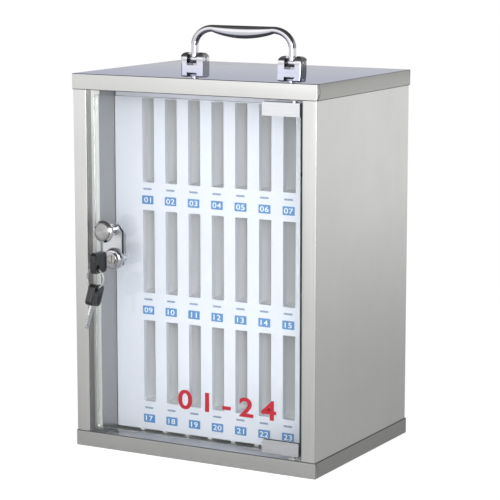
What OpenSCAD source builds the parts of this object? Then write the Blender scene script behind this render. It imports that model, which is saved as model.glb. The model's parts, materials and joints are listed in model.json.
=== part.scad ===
// Phone locker box: a sheet steel cabinet with a pivoting glass door, a keyed lock, a folding
// carrying handle and a white rack of upright slots. Millimetres, +Z up, front towards -Y,
// origin at the centre of the footprint. A recess is a depth measured back from the front plane.

/* [Cabinet] */
// Overall width
body_w = 325; // [310:1:380]
// Overall depth
body_d = 246; // [225:1:300]
// Height of the box without its handle
body_h = 450; // [440:1:520]
// Thickness of the stainless sheet
sheet = 1; // [0.8:0.1:1.4]
// Height of the folded rims of the top cover and the bottom tray
rim_h = 19; // [16:0.5:20]
// Width of the front stiles, measured from the outside of the box
stile_w = 19; // [15:0.5:22]
// Width of the door stop flange on the lock side
stop_w = 12; // [8:0.5:14]
// Depth of the return flange of the rims, which carries the pivot bushes
sill_d = 14; // [13:0.5:18]
// Width of the rear flanges of the side panels
rear_flange_w = 13; // [11:0.5:18]
// Width of the corner tab that wraps from the front rim onto the side rim
tab_w = 7; // [4:0.5:10]
// Width and depth of the seam line round a corner tab
seam_w = 0.4; // [0.2:0.1:0.6]

/* [Glass door] */
// Thickness of the glass
glass_t = 5; // [4:0.5:6]
// Recess of the glass front face behind the front plane
glass_recess = 5.5; // [5:0.5:7]
// Gap between the stile and the glass on the lock side
door_gap_lock = 7.5; // [4:0.5:9]
// Gap between the stile and the glass on the pivot side
door_gap_pivot = 4.5; // [4:0.5:7]
// Gap between a rim and the pivot clip next to it
door_gap_v = 3.5; // [3:0.5:5]
// Radius of the glass corners
glass_corner_r = 3; // [1:0.5:5]
// Distance from the pivot side edge of the glass to the pivot axis
pivot_inset = 9; // [8:0.5:11]
// Diameter of the pivot pins
pivot_d = 4; // [3:0.5:5]
// Outer diameter of the pivot bushes
bush_d = 8; // [7:0.5:9]
// Diameter of the bush's head
bush_head_d = 11; // [10:0.5:12]
// Thickness of the bush's head
bush_head_t = 1; // [0.8:0.1:1.5]
// Length of a pivot clip
clip_l = 48; // [40:1:60]
// Height of a pivot clip
clip_h = 15.5; // [14:0.5:20]
// Wall thickness of a pivot clip
clip_wall = 1.6; // [1.2:0.1:1.8]
// Thickness of the pads between clip and glass
pad_t = 0.7; // [0.5:0.1:1]
// Diameter of the grub screws in the clips
grub_d = 4; // [3:0.5:5]
// Length of the grub screws
grub_l = 3; // [2:0.5:4]
// Diameter of the door bumpers
bumper_d = 4; // [3:0.5:5]
// Thickness of the door bumpers
bumper_t = 1.2; // [1:0.1:2]

/* [Lock and knob] */
// Distance from the outside of the box to the lock axis
lock_inset = 55; // [52:0.5:62]
// Height of the lock axis above the ground
lock_z = 233; // [210:1:260]
// Distance from the lock axis up to the knob axis
knob_rise = 35; // [30:0.5:40]
// Width of the lock plate from the lock axis towards the door's edge
plate_left = 16; // [13:0.5:18]
// Width of the lock plate from the lock axis towards the door's middle
plate_right = 9.5; // [8:0.5:14]
// Height of the lock plate above the knob axis
plate_above = 5; // [4:0.5:10]
// Depth of the lock plate below the lock axis
plate_below = 8; // [6:0.5:12]
// Size of the chamfers at the top of the lock plate
plate_chamfer = 8; // [4:0.5:10]
// Thickness of the lock plates
plate_t = 1.5; // [1:0.1:2]
// Thickness of the gaskets between the plates and the glass
gasket_t = 0.5; // [0.3:0.1:1]
// Diameter of the lock bezel
bezel_d = 26; // [22:0.5:28]
// Height of the lock housing in front of its plate
lock_proud = 8.5; // [7:0.5:12]
// Diameter of the lock barrel that goes through the glass
barrel_d = 16; // [15:0.5:18]
// Diameter of the lock plug
plug_d = 11; // [11:0.5:12]
// Thickness of the barrel nut
nut_t = 3; // [2:0.5:4]
// Width of the barrel nut across its flats
nut_af = 20; // [19.5:0.5:22]
// Number of wafers in the plug
wafers = 4; // [2:1:4]
// Thickness of a wafer
wafer_t = 1; // [0.8:0.1:1.2]
// Reach of the cam from the lock axis to its tip
cam_reach = 29; // [27:0.5:32]
// Width of the cam
cam_w = 14; // [12:0.5:16]
// Thickness of the cam
cam_t = 2; // [1.5:0.1:2.5]
// Width of the square tang that drives the cam
tang_w = 7; // [6:0.5:7.5]
// Diameter of the knob's head
knob_d = 26.5; // [22:0.5:30]
// Height of the knob in front of the lock plate
knob_proud = 26.5; // [22:0.5:30]
// Thickness of the knob's head
knob_head_t = 5; // [4:0.5:8]
// Diameter of the knob's stem
knob_stem_d = 9; // [8:0.5:10]
// Diameter of the collar at the foot of the knob
collar_d = 14.8; // [13:0.2:16]
// Thickness of the collar
collar_t = 3; // [2:0.5:4]
// Diameter of the knob screw
knob_screw_d = 4; // [3:0.5:5]

/* [Keys] */
// Length of a key bow along its blade
bow_l = 25.5; // [22:0.5:28]
// Width of a key bow
bow_w = 24.5; // [22:0.5:28]
// Thickness of a key bow
bow_t = 8; // [6:0.5:9]
// Corner radius of a key bow
bow_r = 5; // [3:0.5:6]
// Diameter of the hole in a key bow
bow_hole_d = 6; // [5:0.5:7]
// Distance from the bow's free end to its hole
bow_hole_inset = 5.5; // [5:0.5:6.5]
// How far the hole in a key bow lies to one side of the blade's line
bow_hole_off = 5; // [0:0.5:6]
// Length of a key blade outside its bow
blade_l = 28; // [26:0.5:32]
// Length of blade that shows between the bow and the lock
blade_neck = 14; // [11:0.5:15]
// Height of a key blade
blade_w = 7.4; // [6.5:0.1:7.6]
// Thickness of a key blade
blade_t = 2; // [1.6:0.1:2.2]
// Depth of the cuts along a key blade
cut_depth = 1; // [0.5:0.1:1.5]
// Outer diameter of the key ring
ring_d = 25; // [24:0.5:30]
// Thickness of the key ring's wire
ring_wire = 1.8; // [1.4:0.1:2.2]
// Sideways lean of the spare key on its ring, in degrees
spare_lean = 9; // [0:1:12]
// Lean of the spare key in its own plane, in degrees, as it hangs from its hole
spare_tilt = 12; // [0:1:20]

/* [Rack] */
// Recess of the rack's front panel behind the front plane
rack_recess = 91; // [75:1:95]
// Thickness of the rack's front panel
panel_t = 8; // [5:0.5:10]
// Thickness of the dividers, shelves and back board
board_t = 5; // [3:0.5:6]
// Width of a slot
slot_w = 16.4; // [12:0.2:20]
// Height of a slot
slot_h = 102; // [80:1:104]
// Distance between two slots in a row
slot_pitch = 32.3; // [28:0.1:33]
// Distance between two rows
row_pitch = 136.4; // [125:0.2:138]
// Height of the lowest row's slots above the ground
first_slot_z = 40.5; // [36:0.5:48]
// Step from a shelf up to the slot's lower edge
slot_sill = 0.5; // [0:0.5:3]
// Gap between the rack's front panel and the side panels
panel_gap = 0.5; // [0.3:0.1:2]
// Height of the front panel's lower edge above the bottom sheet
panel_lift = 4; // [1:0.5:6]
// Gap between the top board and the top cover
rack_top_gap = 4; // [2:0.5:10]
// Width of a number tag
tag_w = 16; // [12:0.2:18]
// Height of a number tag
tag_h = 10.4; // [8:0.2:13]
// Thickness of a number tag
tag_t = 0.5; // [0.3:0.1:1]
// Distance from a slot's lower edge down to the middle of its tag
tag_drop = 21.5; // [18:0.5:26]
// Sideways offset of a tag from its slot, towards the lock side
tag_shift = 0.7; // [0:0.1:3]
// Leg of the angles behind the front panel
angle_leg = 14; // [10:1:18]
// Thickness of the angles
angle_t = 1.5; // [1:0.1:2]
// Height at which the angles begin and end, from the ground and from the top
angle_end = 22; // [20:1:30]
// Diameter of the rack screws
rack_screw_d = 3.5; // [3:0.5:4.5]
// Distance of the rack screws from the top and the bottom
rack_screw_z = 60; // [40:1:90]

/* [Carrying handle] */
// Distance between the arms of the bail, centre to centre
bail_span = 133; // [110:1:160]
// Height of the bail's top above the box
bail_h = 54; // [50:1:65]
// Width of the bail's arms
arm_w = 8.5; // [7:0.5:10]
// Thickness of the bail's arms, front to back
arm_t = 9.5; // [6:0.5:10]
// Height of the grip at its middle
grip_h = 15.5; // [10:0.5:18]
// Thickness of the grip at its middle, front to back
grip_t = 12.5; // [9:0.5:16]
// Reach of the bail's bends, sideways
bend_x = 25; // [18:1:30]
// Reach of the bail's bends, upwards
bend_z = 21; // [15:1:24]
// Diameter of the pin eyes at the ends of the bail
eye_d = 11; // [10:0.5:12]
// Width of the pin eyes
eye_w = 12.8; // [10:0.2:15]
// Side clearance between an eye and the ears of its bracket
eye_gap = 0.6; // [0.4:0.1:1.5]
// Height of the pin axis above the box
pin_z = 12.5; // [12:0.5:16]
// Diameter of the handle pins
pin_d = 5; // [4:0.5:6]
// Width of each ear of a bracket
ear_w = 8.5; // [6:0.5:11]
// Depth of a bracket, front to back
bracket_d = 16; // [14:0.5:18]
// Thickness of a bracket's base
bracket_base = 5; // [4:0.5:6]
// Radius of the rounded outer shoulders of a bracket
shoulder_r = 6; // [2:0.5:7]
// How far the pin ends lie inside the ears
pin_inset = 1.5; // [0.5:0.5:3]
// Diameter of the bracket screws
bracket_screw_d = 4; // [3:0.5:5]

/* [Hidden] */
$fn = 48;

// Clearances: a fixed pin in its hole, a turning shaft, loose parts, and cuts that run through
fit = 0.02;
running = 0.05;
loose = 0.3;
over = 1;

function fy(recess) = -body_d / 2 + recess;

// Cabinet
side_out = body_w / 2 - sheet;
side_in = side_out - sheet;
open_x = body_w / 2 - stile_w;
floor_z = sheet;
roof_z = body_h - sheet;
jamb_z0 = rim_h + 0.2;
jamb_z1 = body_h - jamb_z0;
rear_in = body_d / 2 - 3 * sheet;

// Door
glass_f = glass_recess;
glass_b = glass_f + glass_t;
stop_recess = glass_b + bumper_t + loose;
glass_x0 = -open_x + door_gap_lock;
glass_x1 = open_x - door_gap_pivot;
pivot_x = glass_x1 - pivot_inset;
pivot_recess = glass_f + glass_t / 2;
clip_z0 = rim_h + door_gap_v;
glass_z0 = clip_z0 + clip_wall + loose;
glass_z1 = body_h - glass_z0;
clip_f = glass_f - pad_t - clip_wall;
clip_b = glass_b + pad_t + clip_wall;

// Lock
lock_x = -body_w / 2 + lock_inset;
knob_z = lock_z + knob_rise;
plate_f = glass_f - gasket_t - plate_t;
back_f = glass_b + gasket_t;
back_b = back_f + plate_t;
lock_face = plate_f - lock_proud;
plug_face = lock_face + 0.5;
barrel_b = back_b + nut_t + 1.5;
cam_f = barrel_b + loose;
cam_b = cam_f + cam_t;
stub_d = tang_w - 2;
cam_nut_t = 3.5;
plug_b = cam_b + cam_nut_t + 1;
knob_face = plate_f - knob_proud;
collar_f = plate_f - collar_t;
screw_bore_f = knob_face + knob_head_t + 4;

// Keys
bow_b = plug_face - blade_neck;
bow_f = bow_b - bow_l;
blade_tip = bow_b + blade_l;
keyway_b = blade_tip + 1.5;
hole_recess = bow_f + bow_hole_inset;
ring_in = ring_d / 2 - ring_wire;
ring_sag = ring_in - sqrt(pow(ring_in, 2) - pow(bow_t / 2, 2));
ring_drop = ring_in + bow_hole_d / 2 - loose - ring_sag;
hole_z = lock_z - bow_hole_off;
ring_z = hole_z - ring_drop;

// Rack
rack_y = fy(rack_recess);
cell_y0 = rack_y + panel_t;
cell_y1 = rear_in - board_t;
cell_ym = (cell_y0 + cell_y1) / 2;
rack_top = roof_z - rack_top_gap;
halving = 0.1;
// The cabinet takes as many columns and rows as fit between the angles and below its top
columns = floor(2 * (side_in - angle_leg - loose - board_t) / slot_pitch);
rows = 1 + floor((rack_top - board_t - first_slot_z - slot_h) / row_pitch);
rack_half_w = columns * slot_pitch / 2 + board_t;
panel_half_w = side_in - panel_gap;
panel_z0 = floor_z + panel_lift;
panel_z1 = roof_z - panel_gap;
function column_x(i) = (i - (columns - 1) / 2) * slot_pitch;
function divider_x(i) = (i - columns / 2) * slot_pitch;
function slot_z(k) = first_slot_z + k * row_pitch;
function shelf_z(k) = k < rows ? slot_z(k) - slot_sill - board_t : rack_top - board_t;

// Handle
bracket_gap = eye_w + 2 * eye_gap;
bracket_w = bracket_gap + 2 * ear_w;
bracket_x = bail_span / 2;
bracket_screw_x = bracket_w / 2 - 7;

// A block from one corner to the opposite one
module block(a, b) {
    translate(a) cube(b - a);
}

// A round bar along Y at height z, from recess r0 back to recess r1
module bar_y(x, z, d, r0, r1) {
    translate([x, fy(r0), z]) rotate([-90, 0, 0]) cylinder(h = r1 - r0, d = d);
}

// A hexagonal bar along Y
module hex_y(x, z, af, r0, r1) {
    translate([x, fy(r0), z]) rotate([-90, 0, 0])
        cylinder(h = r1 - r0, d = af / cos(30), $fn = 6);
}

// A turned shape along Y: the outline holds points of radius and recess
module turned_y(x, z, outline) {
    translate([x, fy(0), z]) rotate([-90, 0, 0]) rotate_extrude() polygon(outline);
}

// A flat rectangle with round corners, centred
module round_rect(w, h, r) {
    square([w - 2 * r, h], center = true);
    square([w, h - 2 * r], center = true);
    for (sx = [-1, 1], sy = [-1, 1])
        translate([sx * (w / 2 - r), sy * (h / 2 - r)]) circle(r = r);
}

// ---------------------------------------------------------------- cabinet

// The seam line round a corner tab, cut into the right side rim
module tab_seam() {
    depth = seam_w * 0.75;
    bend = rim_h * 0.45;
    translate([body_w / 2 - depth, 0, 0]) rotate([90, 0, 90]) linear_extrude(depth + over)
        polygon([[fy(tab_w * 0.55), 0], [fy(tab_w * 0.55) + seam_w, 0],
                 [fy(tab_w) + seam_w, bend], [fy(0) + seam_w, rim_h + over],
                 [fy(0), rim_h + over], [fy(tab_w), bend]]);
}

// The relief slit at a rear corner
module rear_seam() {
    depth = seam_w * 0.75;
    translate([body_w / 2 - depth, 0, 0]) rotate([90, 0, 90]) linear_extrude(depth + over)
        polygon([[body_d / 2 - tab_w / 2, 0], [body_d / 2 - tab_w / 2 + 2 * seam_w, 0],
                 [body_d / 2 - seam_w, rim_h / 2], [body_d / 2 - 2 * seam_w, rim_h / 2]]);
}

// A shallow folded pan, open upwards, with a return flange along its front rim
module pan() {
    difference() {
        block([-body_w / 2, fy(0), 0], [body_w / 2, body_d / 2, rim_h]);
        block([-side_out, fy(sheet), sheet], [side_out, body_d / 2 - sheet, rim_h + over]);
        for (side = [0, 1]) mirror([side, 0, 0]) {
            translate([0, 0, rim_h]) mirror([0, 0, 1]) tab_seam();
            rear_seam();
        }
    }
    difference() {
        block([-open_x + panel_gap, fy(sheet), rim_h - sheet],
              [open_x - panel_gap, fy(sill_d), rim_h]);
        translate([pivot_x, fy(pivot_recess), rim_h - sheet - over])
            cylinder(h = sheet + 2 * over, d = bush_d + 2 * fit);
    }
}

module bottom_tray() {
    color([0.72, 0.72, 0.71]) pan();
}

module top_cover() {
    color([0.76, 0.76, 0.8]) difference() {
        translate([0, 0, body_h]) mirror([0, 0, 1]) pan();
        bracket_screw_places() translate([0, 0, roof_z - over])
            cylinder(h = sheet + 2 * over, d = bracket_screw_d + 2 * running);
    }
}

// The right side panel; the lock side gets a stop flange as well
module side_panel(with_stop) {
    block([side_in, fy(sheet), floor_z], [side_out, body_d / 2 - sheet, roof_z]);
    block([open_x, fy(sheet), floor_z], [side_out, fy(2 * sheet), roof_z]);
    block([open_x, fy(sheet), jamb_z0], [open_x + sheet, fy(stop_recess + sheet), jamb_z1]);
    if (with_stop)
        block([open_x - stop_w, fy(stop_recess), jamb_z0],
              [open_x + sheet, fy(stop_recess + sheet), jamb_z1]);
    difference() {
        block([side_out - rear_flange_w, rear_in, floor_z], [side_out, rear_in + sheet, roof_z]);
        rack_screw_places() rack_screw_hole();
    }
}

module right_side_panel() {
    color([0.74, 0.74, 0.73]) side_panel(false);
}

module left_side_panel() {
    color([0.74, 0.74, 0.73]) mirror([1, 0, 0]) side_panel(true);
}

module back_panel() {
    color([0.7, 0.7, 0.7]) difference() {
        block([-side_in, rear_in + sheet, floor_z], [side_in, rear_in + 2 * sheet, roof_z]);
        rack_screw_places() rack_screw_hole();
    }
}

// ---------------------------------------------------------------- rack

module rack_screw_places() {
    for (sx = [-1, 1], z = [rack_screw_z, body_h - rack_screw_z])
        translate([sx * (side_out - rear_flange_w / 2 - sheet), 0, z]) children();
}

module rack_screw_hole() {
    translate([0, cell_y1 - over, 0]) rotate([-90, 0, 0])
        cylinder(h = board_t + 2 * sheet + 2 * over, d = rack_screw_d + 2 * running);
}

module rack_screws() {
    head_t = sheet;
    color([0.6, 0.6, 0.62]) rack_screw_places() {
        translate([0, cell_y1, 0]) rotate([-90, 0, 0])
            cylinder(h = board_t + 2 * sheet, d = rack_screw_d);
        translate([0, rear_in + 2 * sheet, 0]) rotate([-90, 0, 0])
            cylinder(h = head_t, d = 2 * rack_screw_d);
    }
}

// The front panel's rails run across it below, between and above the rows of slots
module rack_panel_rails() {
    color([0.93, 0.94, 0.98]) for (k = [0 : rows])
        block([-panel_half_w, rack_y, k > 0 ? slot_z(k - 1) + slot_h : panel_z0],
              [panel_half_w, cell_y0, k < rows ? slot_z(k) : panel_z1]);
}

// The front panel's posts stand between the rails, one on each side of every slot
module rack_panel_posts() {
    color([0.93, 0.94, 0.98]) for (i = [0 : columns], k = [0 : rows - 1])
        block([i > 0 ? column_x(i - 1) + slot_w / 2 : -panel_half_w, rack_y, slot_z(k)],
              [i < columns ? column_x(i) - slot_w / 2 : panel_half_w, cell_y0,
               slot_z(k) + slot_h]);
}

module rack_dividers() {
    color([0.88, 0.89, 0.93]) for (i = [0 : columns]) difference() {
        translate([divider_x(i) - board_t / 2, cell_y0, floor_z])
            cube([board_t, cell_y1 - cell_y0, rack_top - floor_z]);
        for (k = [0 : rows])
            translate([divider_x(i) - board_t, cell_ym, shelf_z(k) - halving])
                cube([2 * board_t, body_d, board_t + 2 * halving]);
    }
}

module rack_shelves() {
    color([0.86, 0.87, 0.91]) for (k = [0 : rows]) difference() {
        translate([-rack_half_w, cell_y0, shelf_z(k)])
            cube([2 * rack_half_w, cell_y1 - cell_y0, board_t]);
        for (i = [0 : columns])
            translate([divider_x(i) - board_t / 2 - halving, cell_y0 - over, shelf_z(k) - over])
                cube([board_t + 2 * halving, cell_ym - cell_y0 + over, board_t + 2 * over]);
    }
}

module rack_back_board() {
    color([0.85, 0.86, 0.9]) difference() {
        block([-side_in + panel_gap, cell_y1, floor_z],
              [side_in - panel_gap, cell_y1 + board_t, rack_top]);
        rack_screw_places() rack_screw_hole();
    }
}

module rack_support_angles() {
    color([0.7, 0.7, 0.72]) for (side = [0, 1]) mirror([side, 0, 0]) {
        block([side_in - angle_t, cell_y0, angle_end],
              [side_in, cell_y0 + angle_leg, body_h - angle_end]);
        block([side_in - angle_leg, cell_y0, angle_end],
              [side_in, cell_y0 + angle_t, body_h - angle_end]);
    }
}

module number_tags() {
    color([0.29, 0.5, 0.74]) for (i = [0 : columns - 1], k = [0 : rows - 1])
        translate([column_x(i) - tag_shift, rack_y - tag_t / 2, slot_z(k) - tag_drop])
            cube([tag_w, tag_t, tag_h], center = true);
}

// ---------------------------------------------------------------- glass door

// Draws its children at the bottom pivot and, upside down, at the top one
module both_ends() {
    children();
    translate([0, 0, body_h]) mirror([0, 0, 1]) children();
}

module pivot_bushes() {
    color([0.9, 0.9, 0.88]) both_ends()
        translate([pivot_x, fy(pivot_recess), 0]) difference() {
            union() {
                translate([0, 0, rim_h - sheet - 2]) cylinder(h = sheet + 2, d = bush_d);
                translate([0, 0, rim_h]) cylinder(h = bush_head_t, d = bush_head_d);
            }
            translate([0, 0, rim_h - sheet - 2 - over])
                cylinder(h = sheet + bush_head_t + 2 + 2 * over, d = pivot_d + 2 * running);
        }
}

module hinge_pivot_pins() {
    shoulder_d = pivot_d + 3;
    color([0.75, 0.75, 0.77]) both_ends() translate([pivot_x, fy(pivot_recess), 0]) {
        translate([0, 0, rim_h - sheet - 2])
            cylinder(h = clip_z0 + clip_wall - rim_h + sheet + 2, d = pivot_d);
        translate([0, 0, rim_h + bush_head_t + loose])
            cylinder(h = clip_z0 - rim_h - bush_head_t - loose, d = shoulder_d);
    }
}

module door_glass() {
    color([0.8, 0.87, 0.88, 0.35]) difference() {
        translate([(glass_x0 + glass_x1) / 2, fy(glass_b), (glass_z0 + glass_z1) / 2])
            rotate([90, 0, 0]) linear_extrude(glass_t)
                round_rect(glass_x1 - glass_x0, glass_z1 - glass_z0, glass_corner_r);
        bar_y(lock_x, lock_z, barrel_d + 2 * loose, glass_f - over, glass_b + over);
        bar_y(lock_x, knob_z, knob_screw_d + 2 * loose, glass_f - over, glass_b + over);
    }
}

// A channel that grips the lower edge of the glass, at the pivot side
module hinge_clip() {
    difference() {
        block([glass_x1 - clip_l, fy(clip_f), clip_z0], [glass_x1, fy(clip_b), clip_z0 + clip_h]);
        block([glass_x1 - clip_l - over, fy(clip_f + clip_wall), clip_z0 + clip_wall],
              [glass_x1 + over, fy(clip_b - clip_wall), clip_z0 + clip_h + over]);
        translate([pivot_x, fy(pivot_recess), clip_z0 - over])
            cylinder(h = clip_wall + 2 * over, d = pivot_d + 2 * fit);
        for (x = grub_x()) bar_y(x, grub_z(), grub_d + 2 * fit, clip_b - clip_wall - over,
                                 clip_b + over);
    }
}

function grub_x() = [glass_x1 - clip_l / 4, glass_x1 - clip_l * 3 / 4];
function grub_z() = clip_z0 + clip_wall + (clip_h - clip_wall) / 2;

module hinge_clip_bottom() {
    color([0.86, 0.86, 0.86]) hinge_clip();
}

module hinge_clip_top() {
    color([0.86, 0.86, 0.86]) translate([0, 0, body_h]) mirror([0, 0, 1]) hinge_clip();
}

module hinge_clip_pads() {
    color([0.25, 0.25, 0.27]) both_ends()
        for (recess = [clip_f + clip_wall, glass_b])
            block([glass_x1 - clip_l, fy(recess), glass_z0],
                  [glass_x1, fy(recess + pad_t), clip_z0 + clip_h - loose]);
}

module hinge_grub_screws() {
    color([0.55, 0.55, 0.58]) both_ends()
        for (x = grub_x()) difference() {
            bar_y(x, grub_z(), grub_d, clip_b - clip_wall, clip_b - clip_wall + grub_l);
            hex_y(x, grub_z(), grub_d / 2, clip_b - clip_wall + grub_l / 2,
                  clip_b - clip_wall + grub_l + over);
        }
}

module door_bumpers() {
    color([0.85, 0.88, 0.9]) for (z = [glass_z0 + 4 * bumper_d, glass_z1 - 4 * bumper_d])
        bar_y((glass_x0 - open_x + stop_w) / 2, z, bumper_d, glass_b, glass_b + bumper_t);
}

// ---------------------------------------------------------------- lock and knob

// The outline of the lock plates: a rectangle with chamfered upper corners
module plate_outline(r0, r1) {
    x0 = lock_x - plate_left;
    x1 = lock_x + plate_right;
    z0 = lock_z - plate_below;
    z1 = knob_z + plate_above;
    low = plate_chamfer * 0.9;
    translate([0, fy(r1), 0]) rotate([90, 0, 0]) linear_extrude(r1 - r0)
        polygon([[x0, z0], [x1, z0], [x1, z1 - plate_chamfer], [x1 - low, z1],
                 [x0 + low, z1], [x0, z1 - plate_chamfer]]);
}

module plate_holes(r0, r1) {
    bar_y(lock_x, lock_z, barrel_d + 2 * fit, r0 - over, r1 + over);
    bar_y(lock_x, knob_z, knob_screw_d + 2 * fit, r0 - over, r1 + over);
}

module lock_plate() {
    color([0.82, 0.81, 0.79]) difference() {
        plate_outline(plate_f, plate_f + plate_t);
        plate_holes(plate_f, plate_f + plate_t);
    }
}

module lock_back_plate() {
    color([0.78, 0.78, 0.78]) difference() {
        plate_outline(back_f, back_b);
        plate_holes(back_f, back_b);
    }
}

module lock_gaskets() {
    color([0.2, 0.2, 0.22]) for (r = [glass_f - gasket_t, glass_b]) difference() {
        plate_outline(r, r + gasket_t);
        plate_holes(r, r + gasket_t);
    }
}

// The housing has a lip round the plug, and a dome that rounds down to the lock plate
module lock_housing() {
    lip_r = plug_d / 2 + 2.2;
    lip_b = lock_face + 2;
    dome_b = plate_f - 1.2;
    dome = [for (a = [0 : 15 : 90]) [lip_r + (bezel_d / 2 - lip_r) * sin(a),
                                     dome_b - (dome_b - lip_b) * cos(a)]];
    color([0.8, 0.8, 0.82]) difference() {
        union() {
            turned_y(lock_x, lock_z,
                     concat([[0, lock_face], [lip_r - 0.6, lock_face], [lip_r, lock_face + 0.6]],
                            dome, [[bezel_d / 2, plate_f], [0, plate_f]]));
            bar_y(lock_x, lock_z, barrel_d, plate_f, barrel_b);
        }
        bar_y(lock_x, lock_z, plug_d + 2 * running, lock_face - over, barrel_b + over);
    }
}

module lock_nut() {
    color([0.7, 0.7, 0.72]) difference() {
        hex_y(lock_x, lock_z, nut_af, back_b, back_b + nut_t);
        bar_y(lock_x, lock_z, barrel_d + 2 * fit, back_b - over, back_b + nut_t + over);
    }
}

// The knob's flat face has a bevelled shoulder, a short rim and a cone down to the stem
module knob() {
    shoulder = 2.4;
    rim_f = knob_face + knob_head_t * 0.6;
    rim_b = knob_face + knob_head_t * 0.8;
    cone_b = knob_face + knob_head_t + 4;
    color([0.75, 0.75, 0.76]) difference() {
        turned_y(lock_x, knob_z,
                 [[0, knob_face], [knob_d / 2 - shoulder, knob_face],
                  [knob_d / 2 - shoulder * 0.7, knob_face + 0.5], [knob_d / 2, rim_f],
                  [knob_d / 2, rim_b], [knob_stem_d / 2, cone_b], [knob_stem_d / 2, plate_f],
                  [0, plate_f]]);
        bar_y(lock_x, knob_z, knob_screw_d + 2 * fit, screw_bore_f, plate_f + over);
    }
}

module knob_collar() {
    color([0.72, 0.72, 0.74]) difference() {
        turned_y(lock_x, knob_z,
                 [[0, collar_f], [collar_d / 2 - 0.8, collar_f], [collar_d / 2, collar_f + 0.8],
                  [collar_d / 2, plate_f], [0, plate_f]]);
        bar_y(lock_x, knob_z, knob_stem_d + 2 * fit, collar_f - over, plate_f + over);
    }
}

module knob_screw() {
    head_t = 2.5;
    color([0.6, 0.6, 0.62]) {
        bar_y(lock_x, knob_z, knob_screw_d, screw_bore_f + 1, back_b);
        difference() {
            bar_y(lock_x, knob_z, 2 * knob_screw_d, back_b, back_b + head_t);
            translate([lock_x, fy(back_b + head_t), knob_z])
                cube([2.5 * knob_screw_d, head_t, 1], center = true);
        }
    }
}

// The first wafer lies behind the plug's face, and the rest follow along the keyway
function wafer_recess(i) = plug_face + 2.5 + i * 2.5 * wafer_t;
wafer_w = 4.6;
wafer_h = plug_d - 1.2;
keyway_w = blade_t + 0.6;
keyway_h = blade_w + 0.6;

module lock_plug() {
    color([0.7, 0.68, 0.62]) difference() {
        union() {
            bar_y(lock_x, lock_z, plug_d, plug_face, cam_f);
            translate([lock_x, fy((cam_f + cam_b) / 2), lock_z])
                cube([tang_w, cam_t, tang_w], center = true);
            bar_y(lock_x, lock_z, stub_d, cam_b, plug_b);
        }
        block([lock_x - keyway_w / 2, fy(plug_face - over), lock_z - keyway_h / 2],
              [lock_x + keyway_w / 2, fy(keyway_b), lock_z + keyway_h / 2]);
        for (i = [0 : wafers - 1])
            block([lock_x - wafer_w / 2 - running, fy(wafer_recess(i) - running), lock_z - plug_d],
                  [lock_x + wafer_w / 2 + running, fy(wafer_recess(i) + wafer_t + running),
                   lock_z + plug_d]);
    }
}

module lock_wafers() {
    color([0.75, 0.65, 0.4]) for (i = [0 : wafers - 1]) difference() {
        block([lock_x - wafer_w / 2, fy(wafer_recess(i)), lock_z - wafer_h / 2],
              [lock_x + wafer_w / 2, fy(wafer_recess(i) + wafer_t), lock_z + wafer_h / 2]);
        block([lock_x - keyway_w / 2, fy(wafer_recess(i) - over), lock_z - keyway_h / 2],
              [lock_x + keyway_w / 2, fy(wafer_recess(i) + wafer_t + over),
               lock_z + keyway_h / 2]);
    }
}

module lock_cam() {
    color([0.66, 0.66, 0.68]) difference() {
        union() {
            bar_y(lock_x, lock_z, cam_w, cam_f, cam_b);
            block([lock_x - cam_w / 2, fy(cam_f), lock_z],
                  [lock_x + cam_w / 2, fy(cam_b), lock_z + cam_reach]);
        }
        translate([lock_x, fy(cam_f), lock_z])
            cube([tang_w + 2 * running, 4 * cam_t, tang_w + 2 * running], center = true);
    }
}

module cam_nut() {
    color([0.68, 0.68, 0.7]) difference() {
        hex_y(lock_x, lock_z, tang_w + 3, cam_b, cam_b + cam_nut_t);
        bar_y(lock_x, lock_z, stub_d + 2 * fit, cam_b - over, cam_b + cam_nut_t + over);
    }
}

// ---------------------------------------------------------------- keys

// One key, lying along +Y with the middle of its bow hole at the origin. The blade and the
// bow's outline share a line that passes the hole at one side.
module on_blade_line() {
    translate([0, 0, bow_hole_off]) children();
}

module key_steel() {
    bow_end = bow_l - bow_hole_inset;
    tip = bow_end + blade_l;
    half = blade_w / 2;
    cut_pitch = 3.2;
    cut_start = tip - 5;
    cuts = 4;
    on_blade_line() difference() {
        rotate([90, 0, 90]) translate([0, 0, -blade_t / 2]) linear_extrude(blade_t)
            polygon([[bow_end - 6, -half], [tip - 3, -half], [tip, -half / 3], [tip, half / 3],
                     [tip - 3, half], [bow_end - 6, half]]);
        for (i = [0 : cuts - 1], side = [-1, 1])
            translate([0, cut_start - i * cut_pitch, side * half]) rotate([45, 0, 0])
                cube([2 * blade_t, cut_depth * sqrt(2), cut_depth * sqrt(2)], center = true);
    }
}

module key_handle() {
    mid = bow_l / 2 - bow_hole_inset;
    slot = 6 + loose / 3;
    recess_d = 0.8;
    difference() {
        on_blade_line() translate([-bow_t / 2, mid, 0]) rotate([90, 0, 90]) linear_extrude(bow_t)
            round_rect(bow_l, bow_w, bow_r);
        rotate([0, 90, 0]) cylinder(h = 2 * bow_t, d = bow_hole_d, center = true);
        on_blade_line() for (side = [-1, 1])
            translate([side * bow_t / 2, mid + bow_hole_inset / 2 + 1.5, 0])
                cube([2 * recess_d, bow_l * 0.42, bow_w * 0.55], center = true);
        on_blade_line()
            block([-blade_t / 2 - fit, bow_l - bow_hole_inset - slot, -blade_w / 2 - fit],
                  [blade_t / 2 + fit, bow_l, blade_w / 2 + fit]);
    }
}

module in_lock() {
    translate([lock_x, fy(hole_recess), hole_z]) children();
}

// The spare hangs blade down from the ring, a little way round it, so it leans. Its hole is
// off its middle, so it tilts as well.
module on_ring() {
    translate([lock_x, fy(hole_recess), ring_z]) rotate([0, spare_lean, 0])
        translate([0, 0, -ring_drop]) rotate([-90 - spare_tilt, 0, 0]) children();
}

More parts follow.
